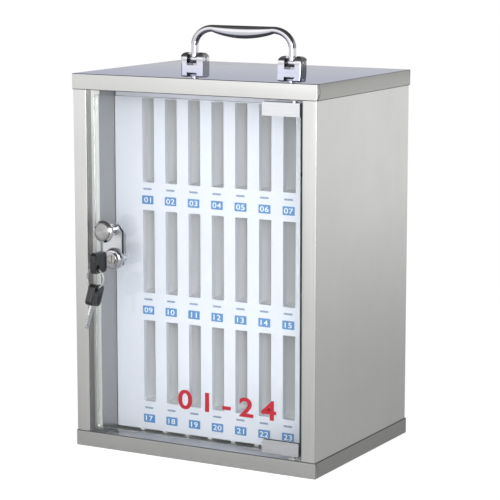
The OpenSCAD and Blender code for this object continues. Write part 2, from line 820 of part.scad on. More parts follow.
module key_blade() {
    color([0.78, 0.78, 0.78]) in_lock() key_steel();
}

module key_bow() {
    color([0.1, 0.1, 0.11]) in_lock() key_handle();
}

module spare_key_blade() {
    color([0.78, 0.78, 0.78]) on_ring() key_steel();
}

module spare_key_bow() {
    color([0.1, 0.1, 0.11]) on_ring() key_handle();
}

module key_ring() {
    color([0.85, 0.85, 0.86]) translate([lock_x, fy(hole_recess), ring_z]) rotate([90, 0, 0])
        rotate_extrude() translate([(ring_d - ring_wire) / 2, 0]) circle(d = ring_wire);
}

// ---------------------------------------------------------------- carrying handle

module bracket_screw_places() {
    for (sx = [-1, 1], dx = [-1, 1])
        translate([sx * bracket_x + dx * bracket_screw_x, 0, 0]) children();
}

// The front view of one ear, rounded at its outer top corner
module shoulder_outline() {
    ear_top = pin_z + bracket_d / 2;
    square([bracket_w / 2 - shoulder_r, ear_top]);
    square([bracket_w / 2, ear_top - shoulder_r]);
    translate([bracket_w / 2 - shoulder_r, ear_top - shoulder_r]) circle(r = shoulder_r);
}

// A bracket with two round-topped ears; its pin hole runs along X
module handle_bracket() {
    difference() {
        union() {
            block([-bracket_w / 2, -bracket_d / 2, 0], [bracket_w / 2, bracket_d / 2, bracket_base]);
            for (side = [0, 1]) mirror([side, 0, 0]) intersection() {
                union() {
                    block([bracket_gap / 2, -bracket_d / 2, 0],
                          [bracket_w / 2, bracket_d / 2, pin_z]);
                    translate([bracket_gap / 2, 0, pin_z]) rotate([0, 90, 0])
                        cylinder(h = ear_w, d = bracket_d);
                }
                translate([0, bracket_d, 0]) rotate([90, 0, 0]) linear_extrude(2 * bracket_d)
                    shoulder_outline();
            }
        }
        translate([-bracket_w, 0, pin_z]) rotate([0, 90, 0])
            cylinder(h = 2 * bracket_w, d = pin_d + 2 * fit);
        for (dx = [-1, 1]) translate([dx * bracket_screw_x, 0, -over])
            cylinder(h = bracket_base - 1 + over, d = bracket_screw_d + 2 * fit);
    }
}

module handle_bracket_left() {
    color([0.8, 0.8, 0.82]) translate([-bracket_x, 0, body_h]) handle_bracket();
}

module handle_bracket_right() {
    color([0.8, 0.8, 0.82]) translate([bracket_x, 0, body_h]) handle_bracket();
}

module handle_screws() {
    head_t = 2.2;
    color([0.6, 0.6, 0.62]) bracket_screw_places() {
        translate([0, 0, roof_z]) cylinder(h = sheet + bracket_base - 1.2, d = bracket_screw_d);
        translate([0, 0, roof_z - head_t]) cylinder(h = head_t, d = 1.9 * bracket_screw_d);
    }
}

module handle_pins() {
    color([0.6, 0.6, 0.62]) for (sx = [-1, 1])
        translate([sx * bracket_x - bracket_w / 2 + pin_inset, 0, body_h + pin_z])
            rotate([0, 90, 0]) cylinder(h = bracket_w - 2 * pin_inset, d = pin_d);
}

// The bail's line runs up the left arm, round the bend, along the grip and down again.
// Each station is [x, z, angle of the line, share of the way to the full grip].
bend_steps = 8;
grip_steps = 12;
// A fuller or slimmer belly on the grip
belly = 0.8;
arm_x = bail_span / 2;
line_z = bail_h - arm_w / 2;
left_arm = [for (z = [pin_z, line_z - bend_z - 4]) [-arm_x, z, 90, 0]];
left_bend = [for (i = [0 : bend_steps]) let (a = 90 * i / bend_steps)
             [-arm_x + bend_x * (1 - cos(a)), line_z - bend_z * (1 - sin(a)),
              atan2(bend_z * cos(a), bend_x * sin(a)), 0]];
grip_half = arm_x - bend_x;
grip_line = [for (i = [1 : grip_steps - 1]) let (s = i / grip_steps)
             [-grip_half + 2 * grip_half * s, line_z, 0, pow(sin(180 * s), belly)]];
right_bend = [for (i = [bend_steps : -1 : 0])
              [-left_bend[i][0], left_bend[i][1], -left_bend[i][2], 0]];
right_arm = [for (i = [1, 0]) [arm_x, left_arm[i][1], -90, 0]];
bail_line = concat(left_arm, left_bend, grip_line, right_bend, right_arm);

// One oval ring of points round a station; the grip swells downwards only
section_sides = 16;
function bail_ring(s) =
    let (w = arm_w + (grip_h - arm_w) * s[3], t = arm_t + (grip_t - arm_t) * s[3],
         drop = (w - arm_w) / 2)
    [for (j = [0 : section_sides - 1])
        let (a = 360 * j / section_sides, n = w / 2 * sign(cos(a)) * pow(abs(cos(a)), 0.8),
             y = t / 2 * sign(sin(a)) * pow(abs(sin(a)), 0.8))
        [s[0] - n * sin(s[2]), y, s[1] + n * cos(s[2]) - drop]];

module handle_bail() {
    rings = [for (s = bail_line) bail_ring(s)];
    n = len(rings);
    m = section_sides;
    points = [for (ring = rings, p = ring) p];
    sides = [for (i = [0 : n - 2], j = [0 : m - 1])
             let (a = i * m + j, b = i * m + (j + 1) % m)
             each [[a, b, b + m], [a, b + m, a + m]]];
    ends = [[for (j = [m - 1 : -1 : 0]) j], [for (j = [0 : m - 1]) (n - 1) * m + j]];
    color([0.8, 0.8, 0.83]) translate([0, 0, body_h]) difference() {
        union() {
            polyhedron(points = points, faces = concat(sides, ends), convexity = 6);
            for (sx = [-1, 1]) translate([sx * arm_x - eye_w / 2, 0, pin_z])
                rotate([0, 90, 0]) cylinder(h = eye_w, d = eye_d);
        }
        for (sx = [-1, 1]) translate([sx * arm_x - eye_w, 0, pin_z])
            rotate([0, 90, 0]) cylinder(h = 2 * eye_w, d = pin_d + 2 * running);
    }
}

bottom_tray();
top_cover();
left_side_panel();
right_side_panel();
back_panel();
rack_panel_rails();
rack_panel_posts();
rack_dividers();
rack_shelves();
rack_back_board();
rack_support_angles();
rack_screws();
number_tags();
pivot_bushes();
handle_bracket_left();
handle_bracket_right();
handle_screws();
handle_pins();
door_glass();
hinge_clip_top();
hinge_clip_bottom();
hinge_clip_pads();
hinge_grub_screws();
hinge_pivot_pins();
lock_plate();
lock_back_plate();
lock_gaskets();
lock_housing();
lock_nut();
knob();
knob_collar();
knob_screw();
door_bumpers();
lock_plug();
lock_wafers();
lock_cam();
cam_nut();
key_blade();
key_bow();
key_ring();
spare_key_blade();
spare_key_bow();
handle_bail();
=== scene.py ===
"""Looks of the phone locker box: folded steel cabinet, glass door with lock and keys, slotted
rack with numbered tags, and a chrome carrying handle. Lengths are in millimetres and angles in
degrees, except where a comment says otherwise."""
import json
import math

import bmesh
import bpy
from mathutils import Matrix, Vector

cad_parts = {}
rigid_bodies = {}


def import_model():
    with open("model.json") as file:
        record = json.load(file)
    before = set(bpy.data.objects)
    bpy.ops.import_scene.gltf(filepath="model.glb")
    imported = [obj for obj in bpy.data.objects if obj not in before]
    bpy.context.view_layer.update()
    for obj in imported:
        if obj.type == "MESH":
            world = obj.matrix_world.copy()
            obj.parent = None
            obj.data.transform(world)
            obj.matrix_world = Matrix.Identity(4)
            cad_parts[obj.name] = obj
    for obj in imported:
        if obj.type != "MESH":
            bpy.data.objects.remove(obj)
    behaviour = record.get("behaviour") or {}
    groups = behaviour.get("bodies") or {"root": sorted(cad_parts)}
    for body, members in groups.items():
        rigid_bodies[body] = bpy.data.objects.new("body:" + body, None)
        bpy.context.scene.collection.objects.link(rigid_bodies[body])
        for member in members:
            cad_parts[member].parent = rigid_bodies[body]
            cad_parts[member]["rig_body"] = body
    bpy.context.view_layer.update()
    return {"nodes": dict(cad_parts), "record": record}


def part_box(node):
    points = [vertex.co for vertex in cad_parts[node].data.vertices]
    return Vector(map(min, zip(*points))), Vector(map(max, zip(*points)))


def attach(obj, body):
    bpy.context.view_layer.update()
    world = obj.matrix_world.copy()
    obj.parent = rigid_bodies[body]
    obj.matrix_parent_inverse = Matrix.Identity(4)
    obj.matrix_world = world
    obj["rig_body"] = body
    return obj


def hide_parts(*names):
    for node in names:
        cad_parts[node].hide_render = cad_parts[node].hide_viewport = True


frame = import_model()
MM = 0.001


def low(node):
    """Lowest corner of a CAD node."""
    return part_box(node)[0] / MM


def high(node):
    """Highest corner of a CAD node."""
    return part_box(node)[1] / MM


def middle(node):
    """Middle of a CAD node's box."""
    return (low(node) + high(node)) / 2


def radius(node, axis="x"):
    """Half of a CAD node's width along an axis."""
    return (getattr(high(node), axis) - getattr(low(node), axis)) / 2


def body_of(node):
    """The body that a CAD node rides on."""
    return frame["nodes"][node]["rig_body"]


def cos(angle):
    return math.cos(math.radians(angle))


def sin(angle):
    return math.sin(math.radians(angle))


def put(name, data):
    """A new object with that data, in the scene."""
    made = bpy.data.objects.new(name, data)
    bpy.context.scene.collection.objects.link(made)
    return made


# ---- shader nodes

# Sockets of a mix node
NUMBER_A, NUMBER_B = 2, 3
COLOR_A, COLOR_B, MIXED_COLOR = 6, 7, 2


def add_node(tree, kind, **values):
    """A new node, with its properties and input sockets set by name."""
    made = tree.nodes.new(kind)
    for key, value in values.items():
        if hasattr(made, key):
            setattr(made, key, value)
        else:
            made.inputs[key].default_value = value
    return made


def feed(tree, socket, value):
    """Sets a socket to a number, or links it to another node's output."""
    if isinstance(value, (int, float)):
        socket.default_value = value
    else:
        tree.links.new(value, socket)


def math_node(tree, operation, a, b):
    """A sum, product or the like of two values."""
    made = add_node(tree, "ShaderNodeMath", operation=operation)
    feed(tree, made.inputs[0], a)
    feed(tree, made.inputs[1], b)
    return made.outputs[0]


def vector_node(tree, operation, vector, other=(0, 0, 0)):
    """A vector operation on a socket's vector and a constant one."""
    made = add_node(tree, "ShaderNodeVectorMath", operation=operation)
    tree.links.new(vector, made.inputs[0])
    made.inputs[1].default_value = other
    return made


def ramp_node(tree, value, *ends, kind="SMOOTHSTEP"):
    """Carries a value's range over to another range: ends holds both ends of each."""
    made = add_node(tree, "ShaderNodeMapRange", interpolation_type=kind)
    for name, number in zip(("From Min", "From Max", "To Min", "To Max"), ends):
        made.inputs[name].default_value = number
    tree.links.new(value, made.inputs["Value"])
    return made.outputs[0]


def by_ray(tree, light, mirrored, shown):
    """One value as a light, one as gloss mirrors it, and one for the camera and through glass."""
    path = add_node(tree, "ShaderNodeLightPath")
    value = light
    for kind, other in (("Is Glossy Ray", mirrored), ("Is Transmission Ray", shown),
                        ("Is Camera Ray", shown)):
        made = add_node(tree, "ShaderNodeMix")
        tree.links.new(path.outputs[kind], made.inputs[0])
        feed(tree, made.inputs[NUMBER_A], value)
        feed(tree, made.inputs[NUMBER_B], other)
        value = made.outputs[0]
    return value


NOISE_LOW, NOISE_HIGH = 0.3, 0.7


class Paint:
    """A material under construction: its node tree, its shader and a few pattern helpers."""

    def __init__(self, name, color, roughness, metallic=0.0):
        self.material = bpy.data.materials.new(name)
        self.material.use_nodes = True
        self.tree = self.material.node_tree
        self.bsdf = self.tree.nodes["Principled BSDF"]
        self.color = color
        self.set("Base Color", (*color, 1))
        self.set("Roughness", roughness)
        self.set("Metallic", metallic)

    def set(self, name, value):
        """Sets one of the shader's own sockets."""
        self.bsdf.inputs[name].default_value = value

    def node(self, kind, **values):
        return add_node(self.tree, kind, **values)

    def link(self, value, socket):
        """Links a value to a socket, or to one of the shader's sockets by its name."""
        self.tree.links.new(value, self.bsdf.inputs[socket] if isinstance(socket, str) else socket)

    def noise(self, scale, stretch=(1, 1, 1), detail=4.0, rough=0.6):
        """Noise on the object's coordinates in metres, stretched along X, Y and Z."""
        mapping = self.node("ShaderNodeMapping", Scale=stretch)
        self.link(self.node("ShaderNodeTexCoord").outputs["Object"], mapping.inputs["Vector"])
        made = self.node("ShaderNodeTexNoise", Scale=scale, Detail=detail, Roughness=rough)
        self.link(mapping.outputs["Vector"], made.inputs["Vector"])
        return made.outputs["Fac"]

    def spread(self, value, low_out, high_out):
        """The range that noise mostly stays in, carried over to another range."""
        return ramp_node(self.tree, value, NOISE_LOW, NOISE_HIGH, low_out, high_out, kind="LINEAR")

    def tint(self, value, share):
        """The colour goes darker and lighter by a share along a 0 to 1 value."""
        made = self.node("ShaderNodeMix", data_type="RGBA")
        self.link(value, made.inputs["Factor"])
        made.inputs[COLOR_A].default_value = (*(c * (1 - share) for c in self.color), 1)
        made.inputs[COLOR_B].default_value = (*(min(c * (1 + share), 1) for c in self.color), 1)
        self.link(made.outputs[MIXED_COLOR], "Base Color")

    def rough(self, value, low_out, high_out):
        """Uneven gloss: the roughness follows noise."""
        self.link(self.spread(value, low_out, high_out), "Roughness")

    def bump(self, value, strength, distance):
        """Relief that follows a value; the distance is in metres."""
        made = self.node("ShaderNodeBump", Strength=strength, Distance=distance)
        self.link(value, made.inputs["Height"])
        self.link(made.outputs["Normal"], "Normal")


# ---- camera and light

CAMERA_AZIMUTH = 29.039
CAMERA_ELEVATION = 9.430
CAMERA_DISTANCE = 2336.7
CAMERA_TARGET = Vector((77.7, -123.0, 258.3))
CAMERA_LENS = 148.08
SENSOR = 36.0
CLIP_END_METRES = 100


def add_camera():
    """The photograph's view of the box."""
    data = bpy.data.cameras.new("camera")
    data.sensor_width = SENSOR
    data.lens = CAMERA_LENS
    data.clip_end = CLIP_END_METRES
    flat = cos(CAMERA_ELEVATION)
    back = Vector((sin(CAMERA_AZIMUTH) * flat, -cos(CAMERA_AZIMUTH) * flat,
                   sin(CAMERA_ELEVATION)))
    camera = put("camera", data)
    camera.location = (CAMERA_TARGET + CAMERA_DISTANCE * back) * MM
    camera.rotation_euler = back.to_track_quat("Z", "Y").to_euler()
    bpy.context.scene.camera = camera


# Lamps: name, place and size in metres, power in watts
LAMPS = (("key", (1.10, -2.25, 0.64), (1.0, 1.0), 30),
         ("fill", (-0.6, -2.3, 1.15), (2.2, 1.6), 3))
LAMP_TARGET = Vector((0, 0, 0.25))


def add_lamp(name, place, size, power):
    """A soft lamp turned to the middle of the box."""
    data = bpy.data.lights.new(name, "AREA")
    data.shape = "RECTANGLE"
    data.size, data.size_y = size
    data.energy = power
    lamp = put(name, data)
    lamp.location = place
    lamp.rotation_euler = (Vector(place) - LAMP_TARGET).to_track_quat("Z", "Y").to_euler()


WORLD_LIGHT = 0.36
BRIGHT_SIDE = (-0.40, -0.92, 0.0)
BRIGHT_START, BRIGHT_END = -0.5, 0.9
BRIGHT_SIDE_LEVEL, SHADE_SIDE_LEVEL = 1.30, 0.62
CEILING_LEVEL = 0.10
CEILING_START, CEILING_END = 0.28, 0.60
# Dark panels that metal mirrors: azimuth from the front towards +X, half width, level
DARK_PANELS = ((64.0, 30.0, 0.10), (150.0, 24.0, 0.68), (250.0, 14.0, 0.20), (290.0, 24.0, 0.60))
PANEL_BLUR = 12.0


def dark_panel(tree, direction, azimuth, half_width, level):
    """1 all round, falling to a level round one azimuth."""
    facing = vector_node(tree, "DOT_PRODUCT", direction, (sin(azimuth), -cos(azimuth), 0))
    return ramp_node(tree, facing.outputs["Value"], cos(half_width + PANEL_BLUR),
                     cos(half_width - PANEL_BLUR), 1.0, level)


def add_world():
    """White to the camera; metal and glass see a bright front, a dim rear, a dark ceiling and
    dark panels between them."""
    world = bpy.data.worlds.new("studio")
    world.use_nodes = True
    tree = world.node_tree
    direction = add_node(tree, "ShaderNodeTexCoord").outputs["Generated"]
    apart = add_node(tree, "ShaderNodeSeparateXYZ")
    tree.links.new(direction, apart.inputs[0])
    facing = vector_node(tree, "DOT_PRODUCT", direction, BRIGHT_SIDE)
    sides = ramp_node(tree, facing.outputs["Value"], BRIGHT_START, BRIGHT_END, SHADE_SIDE_LEVEL,
                      BRIGHT_SIDE_LEVEL)
    ceiling = ramp_node(tree, apart.outputs["Z"], CEILING_START, CEILING_END, 1.0, CEILING_LEVEL)
    mirrored = math_node(tree, "MULTIPLY", sides, ceiling)
    for panel in DARK_PANELS:
        mirrored = math_node(tree, "MULTIPLY", mirrored, dark_panel(tree, direction, *panel))
    background = tree.nodes["Background"]
    tree.links.new(by_ray(tree, WORLD_LIGHT, mirrored, 1.0), background.inputs["Strength"])
    background.inputs["Color"].default_value = (1, 1, 1, 1)
    bpy.context.scene.world = world


# Floor: its half width and the radii are in metres
FLOOR_HALF = 40.0
FLOOR_COLOR = (0.43, 0.43, 0.43)
FLOOR_GLOW = 0.85
MIRRORED_NEAR, MIRRORED_FAR = 0.28, 0.90
NEAR_RADIUS, FAR_RADIUS = 0.2, 3.2


def add_floor():
    """A plain white floor that keeps the box's shadow, and dims near it as metal sees it."""
    mesh = bpy.data.meshes.new("floor")
    h = FLOOR_HALF
    mesh.from_pydata([(-h, -h, 0), (h, -h, 0), (h, h, 0), (-h, h, 0)], [], [(0, 1, 2, 3)])
    paint = Paint("floor", FLOOR_COLOR, roughness=0.9)
    paint.set("Specular IOR Level", 0.2)
    paint.set("Emission Color", (1, 1, 1, 1))
    place = paint.node("ShaderNodeTexCoord").outputs["Object"]
    away = vector_node(paint.tree, "LENGTH", place).outputs["Value"]
    mirrored = ramp_node(paint.tree, away, NEAR_RADIUS, FAR_RADIUS, MIRRORED_NEAR, MIRRORED_FAR)
    paint.link(by_ray(paint.tree, 0.0, mirrored, FLOOR_GLOW), "Emission Strength")
    mesh.materials.append(paint.material)
    put("floor", mesh)


# ---- materials

STRETCH = 0.006
ALONG_X, ALONG_Y, ALONG_Z = (STRETCH, 1, 1), (1, STRETCH, 1), (1, 1, STRETCH)


def brushed(name, color, roughness, grain):
    """Brushed sheet: grain gives the stretch of the scratches along X, Y and Z."""
    paint = Paint(name, color, roughness, metallic=1.0)
    streaks = paint.noise(900, grain, detail=6, rough=0.65)
    clouds = paint.noise(9, detail=3)
    both = math_node(paint.tree, "ADD", paint.spread(streaks, 0.0, 0.55),
                     paint.spread(clouds, 0.0, 0.45))
    paint.tint(both, 0.07)
    paint.rough(streaks, roughness - 0.06, roughness + 0.08)
    paint.bump(streaks, strength=0.10, distance=0.00005)
    paint.set("Anisotropic", 0.4)
    return paint.material


def plain_paint(name, color, roughness, tone=0.04, scale=60, bump=0.05, wear=0.04,
                bump_distance=0.0001):
    """A surface with soft tone clouds, uneven gloss and a fine grain."""
    paint = Paint(name, color, roughness)
    clouds = paint.noise(scale * 0.2, detail=3)
    grain = paint.noise(scale * 20, detail=3)
    paint.tint(paint.spread(clouds, 0, 1), tone)
    paint.rough(clouds, max(roughness - wear, 0.02), roughness + wear)
    paint.bump(grain, bump, bump_distance)
    return paint


def plain(*values, **named):
    return plain_paint(*values, **named).material


def let_through(paint, tint):
    """Shadow rays pass a piece as if it were a clear film."""
    clear = paint.node("ShaderNodeBsdfTransparent", Color=(*tint, 1))
    path = paint.node("ShaderNodeLightPath")
    either = paint.node("ShaderNodeMixShader")
    paint.link(path.outputs["Is Shadow Ray"], either.inputs["Fac"])
    paint.link(paint.bsdf.outputs[0], either.inputs[1])
    paint.link(clear.outputs[0], either.inputs[2])
    paint.link(either.outputs[0], paint.tree.nodes["Material Output"].inputs["Surface"])


def glass():
    """Clear glass that lets the light of the lamps through to the rack."""
    paint = Paint("clear_glass", (0.975, 0.995, 0.99), roughness=0.0)
    paint.set("Transmission Weight", 1.0)
    paint.set("IOR", 1.45)
    paint.rough(paint.noise(7, (1, 1, 0.4)), 0.0, 0.012)
    let_through(paint, (0.97, 0.99, 0.985))
    return paint.material


def glass_edge():
    """The ground edge of the glass: green and milky."""
    paint = plain_paint("glass_edge", (0.15, 0.185, 0.175), 0.30, tone=0.10, scale=80, bump=0.2)
    paint.set("Transmission Weight", 0.35)
    let_through(paint, (0.6, 0.7, 0.66))
    return paint.material


def polished_top():
    """The mirror-polished upper face, faintly wavy as thin sheet is."""
    paint = Paint("polished_top", (0.66, 0.668, 0.745), 0.05, metallic=1.0)
    paint.set("Specular Tint", (0.86, 0.885, 1.0, 1))
    waves = paint.noise(5, detail=2)
    paint.tint(paint.spread(waves, 0, 1), 0.02)
    paint.rough(paint.noise(40), 0.03, 0.07)
    paint.bump(waves, strength=0.05, distance=0.001)
    return paint.material


def bright_metal(name, color, roughness):
    """Plated or polished metal, faintly uneven."""
    paint = Paint(name, color, roughness, metallic=1.0)
    clouds = paint.noise(35)
    paint.tint(paint.spread(clouds, 0, 1), 0.05)
    paint.rough(paint.noise(160, detail=5), roughness - 0.03, roughness + 0.05)
    paint.bump(clouds, strength=0.05, distance=0.0003)
    return paint.material


def black_plastic():
    """Moulded black plastic with a fine spark grain and a soft shine."""
    paint = plain_paint("black_plastic", (0.015, 0.015, 0.017), 0.24, tone=0.25, scale=90,
                        bump=0.18, wear=0.06, bump_distance=0.0002)
    paint.set("Specular IOR Level", 0.6)
    return paint.material


def turned(name, color, roughness, centre, spacing):
    """A turned face: fine rings round an axis along Y; centre and spacing are in metres."""
    paint = Paint(name, color, roughness, metallic=1.0)
    place = paint.node("ShaderNodeTexCoord").outputs["Object"]
    apart = vector_node(paint.tree, "SUBTRACT", place, centre).outputs[0]
    across = vector_node(paint.tree, "MULTIPLY", apart, (1, 0, 1)).outputs[0]
    away = vector_node(paint.tree, "LENGTH", across).outputs["Value"]
    rings = paint.node("ShaderNodeTexNoise", noise_dimensions="1D", Scale=1 / spacing, Detail=3)
    paint.link(away, rings.inputs["W"])
    paint.tint(paint.spread(rings.outputs["Fac"], 0, 1), 0.08)
    paint.rough(rings.outputs["Fac"], roughness - 0.05, roughness + 0.07)
    paint.bump(rings.outputs["Fac"], strength=0.25, distance=0.00005)
    paint.set("Anisotropic", 0.9)
    paint.set("Anisotropic Rotation", 0.25)
    tangent = paint.node("ShaderNodeTangent", direction_type="RADIAL", axis="Y")
    paint.link(tangent.outputs[0], "Tangent")
    return paint.material


LOCK_X, _, LOCK_Z = middle("lock_plug")
KNOB_X, _, KNOB_Z = middle("knob")
STEEL_X = brushed("steel_grain_x", (0.62, 0.62, 0.61), 0.34, ALONG_X)
# Steel with grain along Y for the pans' side rims, darker than the front rims' steel as painted
# shade on the sides
STEEL_Y_PAINTED_SHADE = brushed("steel_grain_y_painted_shade", (0.42, 0.42, 0.405), 0.34, ALONG_Y)
STEEL_Z = brushed("steel_grain_z", (0.70, 0.70, 0.69), 0.34, ALONG_Z)
# The inner walls' steel, darker than the outer steel: painted shade inside the box
STEEL_INSIDE_PAINTED_SHADE = brushed("steel_inside_painted_shade", (0.37, 0.37, 0.375), 0.36, ALONG_Z)
STEEL_BEND = brushed("steel_bend", (0.55, 0.55, 0.54), 0.16, (0.3, 0.3, 0.3))
# The rims' cut edges, dark grey: partly the rougher cut steel, partly painted shade for the dark
# line along each rim
CUT_EDGE_AND_SHADE = brushed("cut_edge_and_shade", (0.20, 0.20, 0.20), 0.45, (1, 1, 1))
POLISHED = polished_top()
PLATED = brushed("plated_steel", (0.52, 0.52, 0.54), 0.38, (1, 1, 0.3))
CLIP = brushed("satin_clip", (0.74, 0.75, 0.78), 0.30, (0.02, 1, 1))
BOARD = plain("white_board", (0.69, 0.70, 0.78), 0.42, tone=0.015, scale=30)
# The boards behind the slots, painted far lighter than the front board: painted light that
# brightens the slots
BOARD_INSIDE_PAINTED_LIGHT = plain("white_board_inside", (0.94, 0.94, 0.97), 0.5, tone=0.01, scale=30)
TAG_BLUE = plain("blue_tag", (0.060, 0.215, 0.50), 0.40, tone=0.06, scale=200)
TAG_WHITE = plain("tag_white", (0.86, 0.90, 0.95), 0.45, tone=0.03, scale=200)
CAPTION = plain("caption_ink", (0.20, 0.27, 0.40), 0.5, tone=0.10, scale=300)
RED = plain("red_film", (0.70, 0.030, 0.055), 0.38, tone=0.05, scale=80)
NYLON = plain("nylon", (0.78, 0.78, 0.74), 0.5, scale=150)
RUBBER = plain("black_rubber", (0.025, 0.025, 0.028), 0.7, scale=150, bump=0.2)
PLASTIC = black_plastic()
CHROME = bright_metal("chrome", (0.60, 0.60, 0.63), 0.05)
# Chrome darkened with painted shade, for the knob's groove and the brackets' outer cheeks
CHROME_PAINTED_SHADE = bright_metal("chrome_painted_shade", (0.26, 0.26, 0.28), 0.14)
KEY_STEEL = bright_metal("key_steel", (0.60, 0.60, 0.60), 0.22)
ZINC = bright_metal("plug_zinc", (0.50, 0.49, 0.47), 0.20)
BRASS = bright_metal("wafer_brass", (0.62, 0.46, 0.20), 0.25)
KNOB_FACE = turned("turned_face", (0.46, 0.46, 0.46), 0.28, (KNOB_X * MM, 0, KNOB_Z * MM), 0.00022)
BUMPER = plain("clear_bumper", (0.70, 0.74, 0.74), 0.25, scale=100)
GLASS = glass()
GLASS_EDGE = glass_edge()


# ---- mesh helpers

# How far a cutter reaches past the surface that it cuts
PAST = 1.0


def shade(mesh, sharp):
    """Smooth shading, with the edges sharper than an angle kept crisp."""
    mesh.shade_smooth()
    mesh.set_sharp_from_angle(angle=math.radians(sharp))


def soften(piece, width, sharp, segments=2):
    """Rounds the edges that are sharper than an angle and evens out the shading."""
    made = piece.modifiers.new("round", "BEVEL")
    made.width = width * MM
    made.segments = segments
    made.limit_method = "ANGLE"
    made.angle_limit = math.radians(sharp)
    made.miter_outer = "MITER_ARC"
    even = piece.modifiers.new("even", "WEIGHTED_NORMAL")
    even.keep_sharp = True


def to_object(name, bm):
    """An object made of a bmesh in millimetres, which it frees."""
    bmesh.ops.recalc_face_normals(bm, faces=bm.faces)
    bmesh.ops.scale(bm, vec=(MM, MM, MM), verts=bm.verts)
    mesh = bpy.data.meshes.new(name)
    bm.to_mesh(mesh)
    bm.free()
    return put(name, mesh)


def finish_mesh(name, bm, materials, body, slot=None, replaces=(), bevel=None, sharp=35.0,
                segments=2):
    """Turns a bmesh in millimetres into a shaded piece that rides on a body."""
    piece = to_object(name, bm)
    for material in materials:
        piece.data.materials.append(material)
    if bevel:
        piece.data.shade_smooth()
        soften(piece, bevel, sharp, segments)
    else:
        shade(piece.data, sharp)
    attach(piece, body)
    if replaces:
        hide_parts(*replaces)
    return piece


def paint_faces(piece, choose):
    """Gives each face the material that choose(centre, normal) names, if it names one."""
    names = [material.name for material in piece.data.materials]
    for face in piece.data.polygons:
        material = choose(face.center / MM, face.normal)
        if material:
            face.material_index = names.index(material.name)


def applied_mesh(thing):
    """A new mesh of an object as its modifiers or its text make it."""
    bpy.context.view_layer.update()
    graph = bpy.context.evaluated_depsgraph_get()
    return bpy.data.meshes.new_from_object(thing.evaluated_get(graph))


def apply_modifiers(piece):
    """Bakes a piece's modifiers into its mesh."""
    mesh = applied_mesh(piece)
    piece.modifiers.clear()
    piece.data = mesh
    mesh.name = piece.name


def carve(piece, bm, sharp):
    """Cuts the shapes in a bmesh, in millimetres, out of a piece and shades it afresh."""
    cutter = to_object("cutter", bm)
    made = piece.modifiers.new("cut", "BOOLEAN")
    made.operation = "DIFFERENCE"
    made.solver = "EXACT"
    made.object = cutter
    apply_modifiers(piece)
    mesh = cutter.data
    bpy.data.objects.remove(cutter)
    bpy.data.meshes.remove(mesh)
    shade(piece.data, sharp)


def add_block(bm, a, b):
    """A box from one corner to the opposite one."""
    a, b = Vector(a), Vector(b)
    made = bmesh.ops.create_cube(bm, size=1.0)
    bmesh.ops.scale(bm, vec=b - a, verts=made["verts"])
    bmesh.ops.translate(bm, vec=(a + b) / 2, verts=made["verts"])


# A point from two coordinates across an axis and one along it
ACROSS = {"x": lambda u, v, w: (w, u, v), "y": lambda u, v, w: (u, w, v),
          "z": lambda u, v, w: (u, v, w)}


def add_prism(bm, outline, axis, start, end):
    """An outline of 2-D points pushed along an axis."""
    near, far = ([bm.verts.new(ACROSS[axis](u, v, w)) for u, v in outline] for w in (start, end))
    bm.faces.new(near)
    bm.faces.new(list(reversed(far)))
    for i in range(len(outline)):
        bm.faces.new((near[i - 1], near[i], far[i], far[i - 1]))


def add_loft(bm, rings, closed=False):
    """Skins rings of points that have the same count, with caps unless it closes on itself."""
    loops = [[bm.verts.new(p) for p in ring] for ring in rings]
    pairs = list(zip(loops, loops[1:]))
    if closed:
        pairs.append((loops[-1], loops[0]))
    else:
        bm.faces.new(list(reversed(loops[0])))
        bm.faces.new(loops[-1])
    for a, b in pairs:
        for i in range(len(a)):
            bm.faces.new((a[i - 1], a[i], b[i], b[i - 1]))


def add_turned(bm, x, z, outline, steps=72):
    """A shape turned round an axis along Y: outline holds (radius, y), both ends on the axis."""
    front, rear = (bm.verts.new((x, y, z)) for y in (outline[0][1], outline[-1][1]))
    columns = []
    for i in range(steps):
        a = 360 * i / steps
        columns.append([bm.verts.new((x + r * cos(a), y, z + r * sin(a)))
                        for r, y in outline[1:-1]])
    for a, b in zip(columns, columns[1:] + columns[:1]):
        bm.faces.new((front, a[0], b[0]))
        for k in range(len(a) - 1):
            bm.faces.new((a[k], a[k + 1], b[k + 1], b[k]))
        bm.faces.new((rear, b[-1], a[-1]))


def add_revolved(bm, centre, axis, outline, steps=72):
    """A closed outline of (radius, height) turned round an axis through a point."""
    angles = [360 * i / steps for i in range(steps)]
    add_loft(bm, [[Vector(centre) + Vector(ACROSS[axis](r * cos(a), r * sin(a), h))
                   for r, h in outline] for a in angles], closed=True)


def arc(cx, cy, r, start, end, steps):
    """Points on an arc, from one angle to another."""
    angles = [start + (end - start) * i / steps for i in range(steps + 1)]
    return [(cx + r * cos(a), cy + r * sin(a)) for a in angles]


def rounded(x0, y0, x1, y1, r, steps=5):
    """A rectangle with round corners, counter-clockwise."""
    corners = ((x1 - r, y1 - r), (x0 + r, y1 - r), (x0 + r, y0 + r), (x1 - r, y0 + r))
    return [point for k, (x, y) in enumerate(corners)
            for point in arc(x, y, r, 90 * k, 90 * k + 90, steps)]


# The least inner radius of a bend
INNER_BEND = 0.15


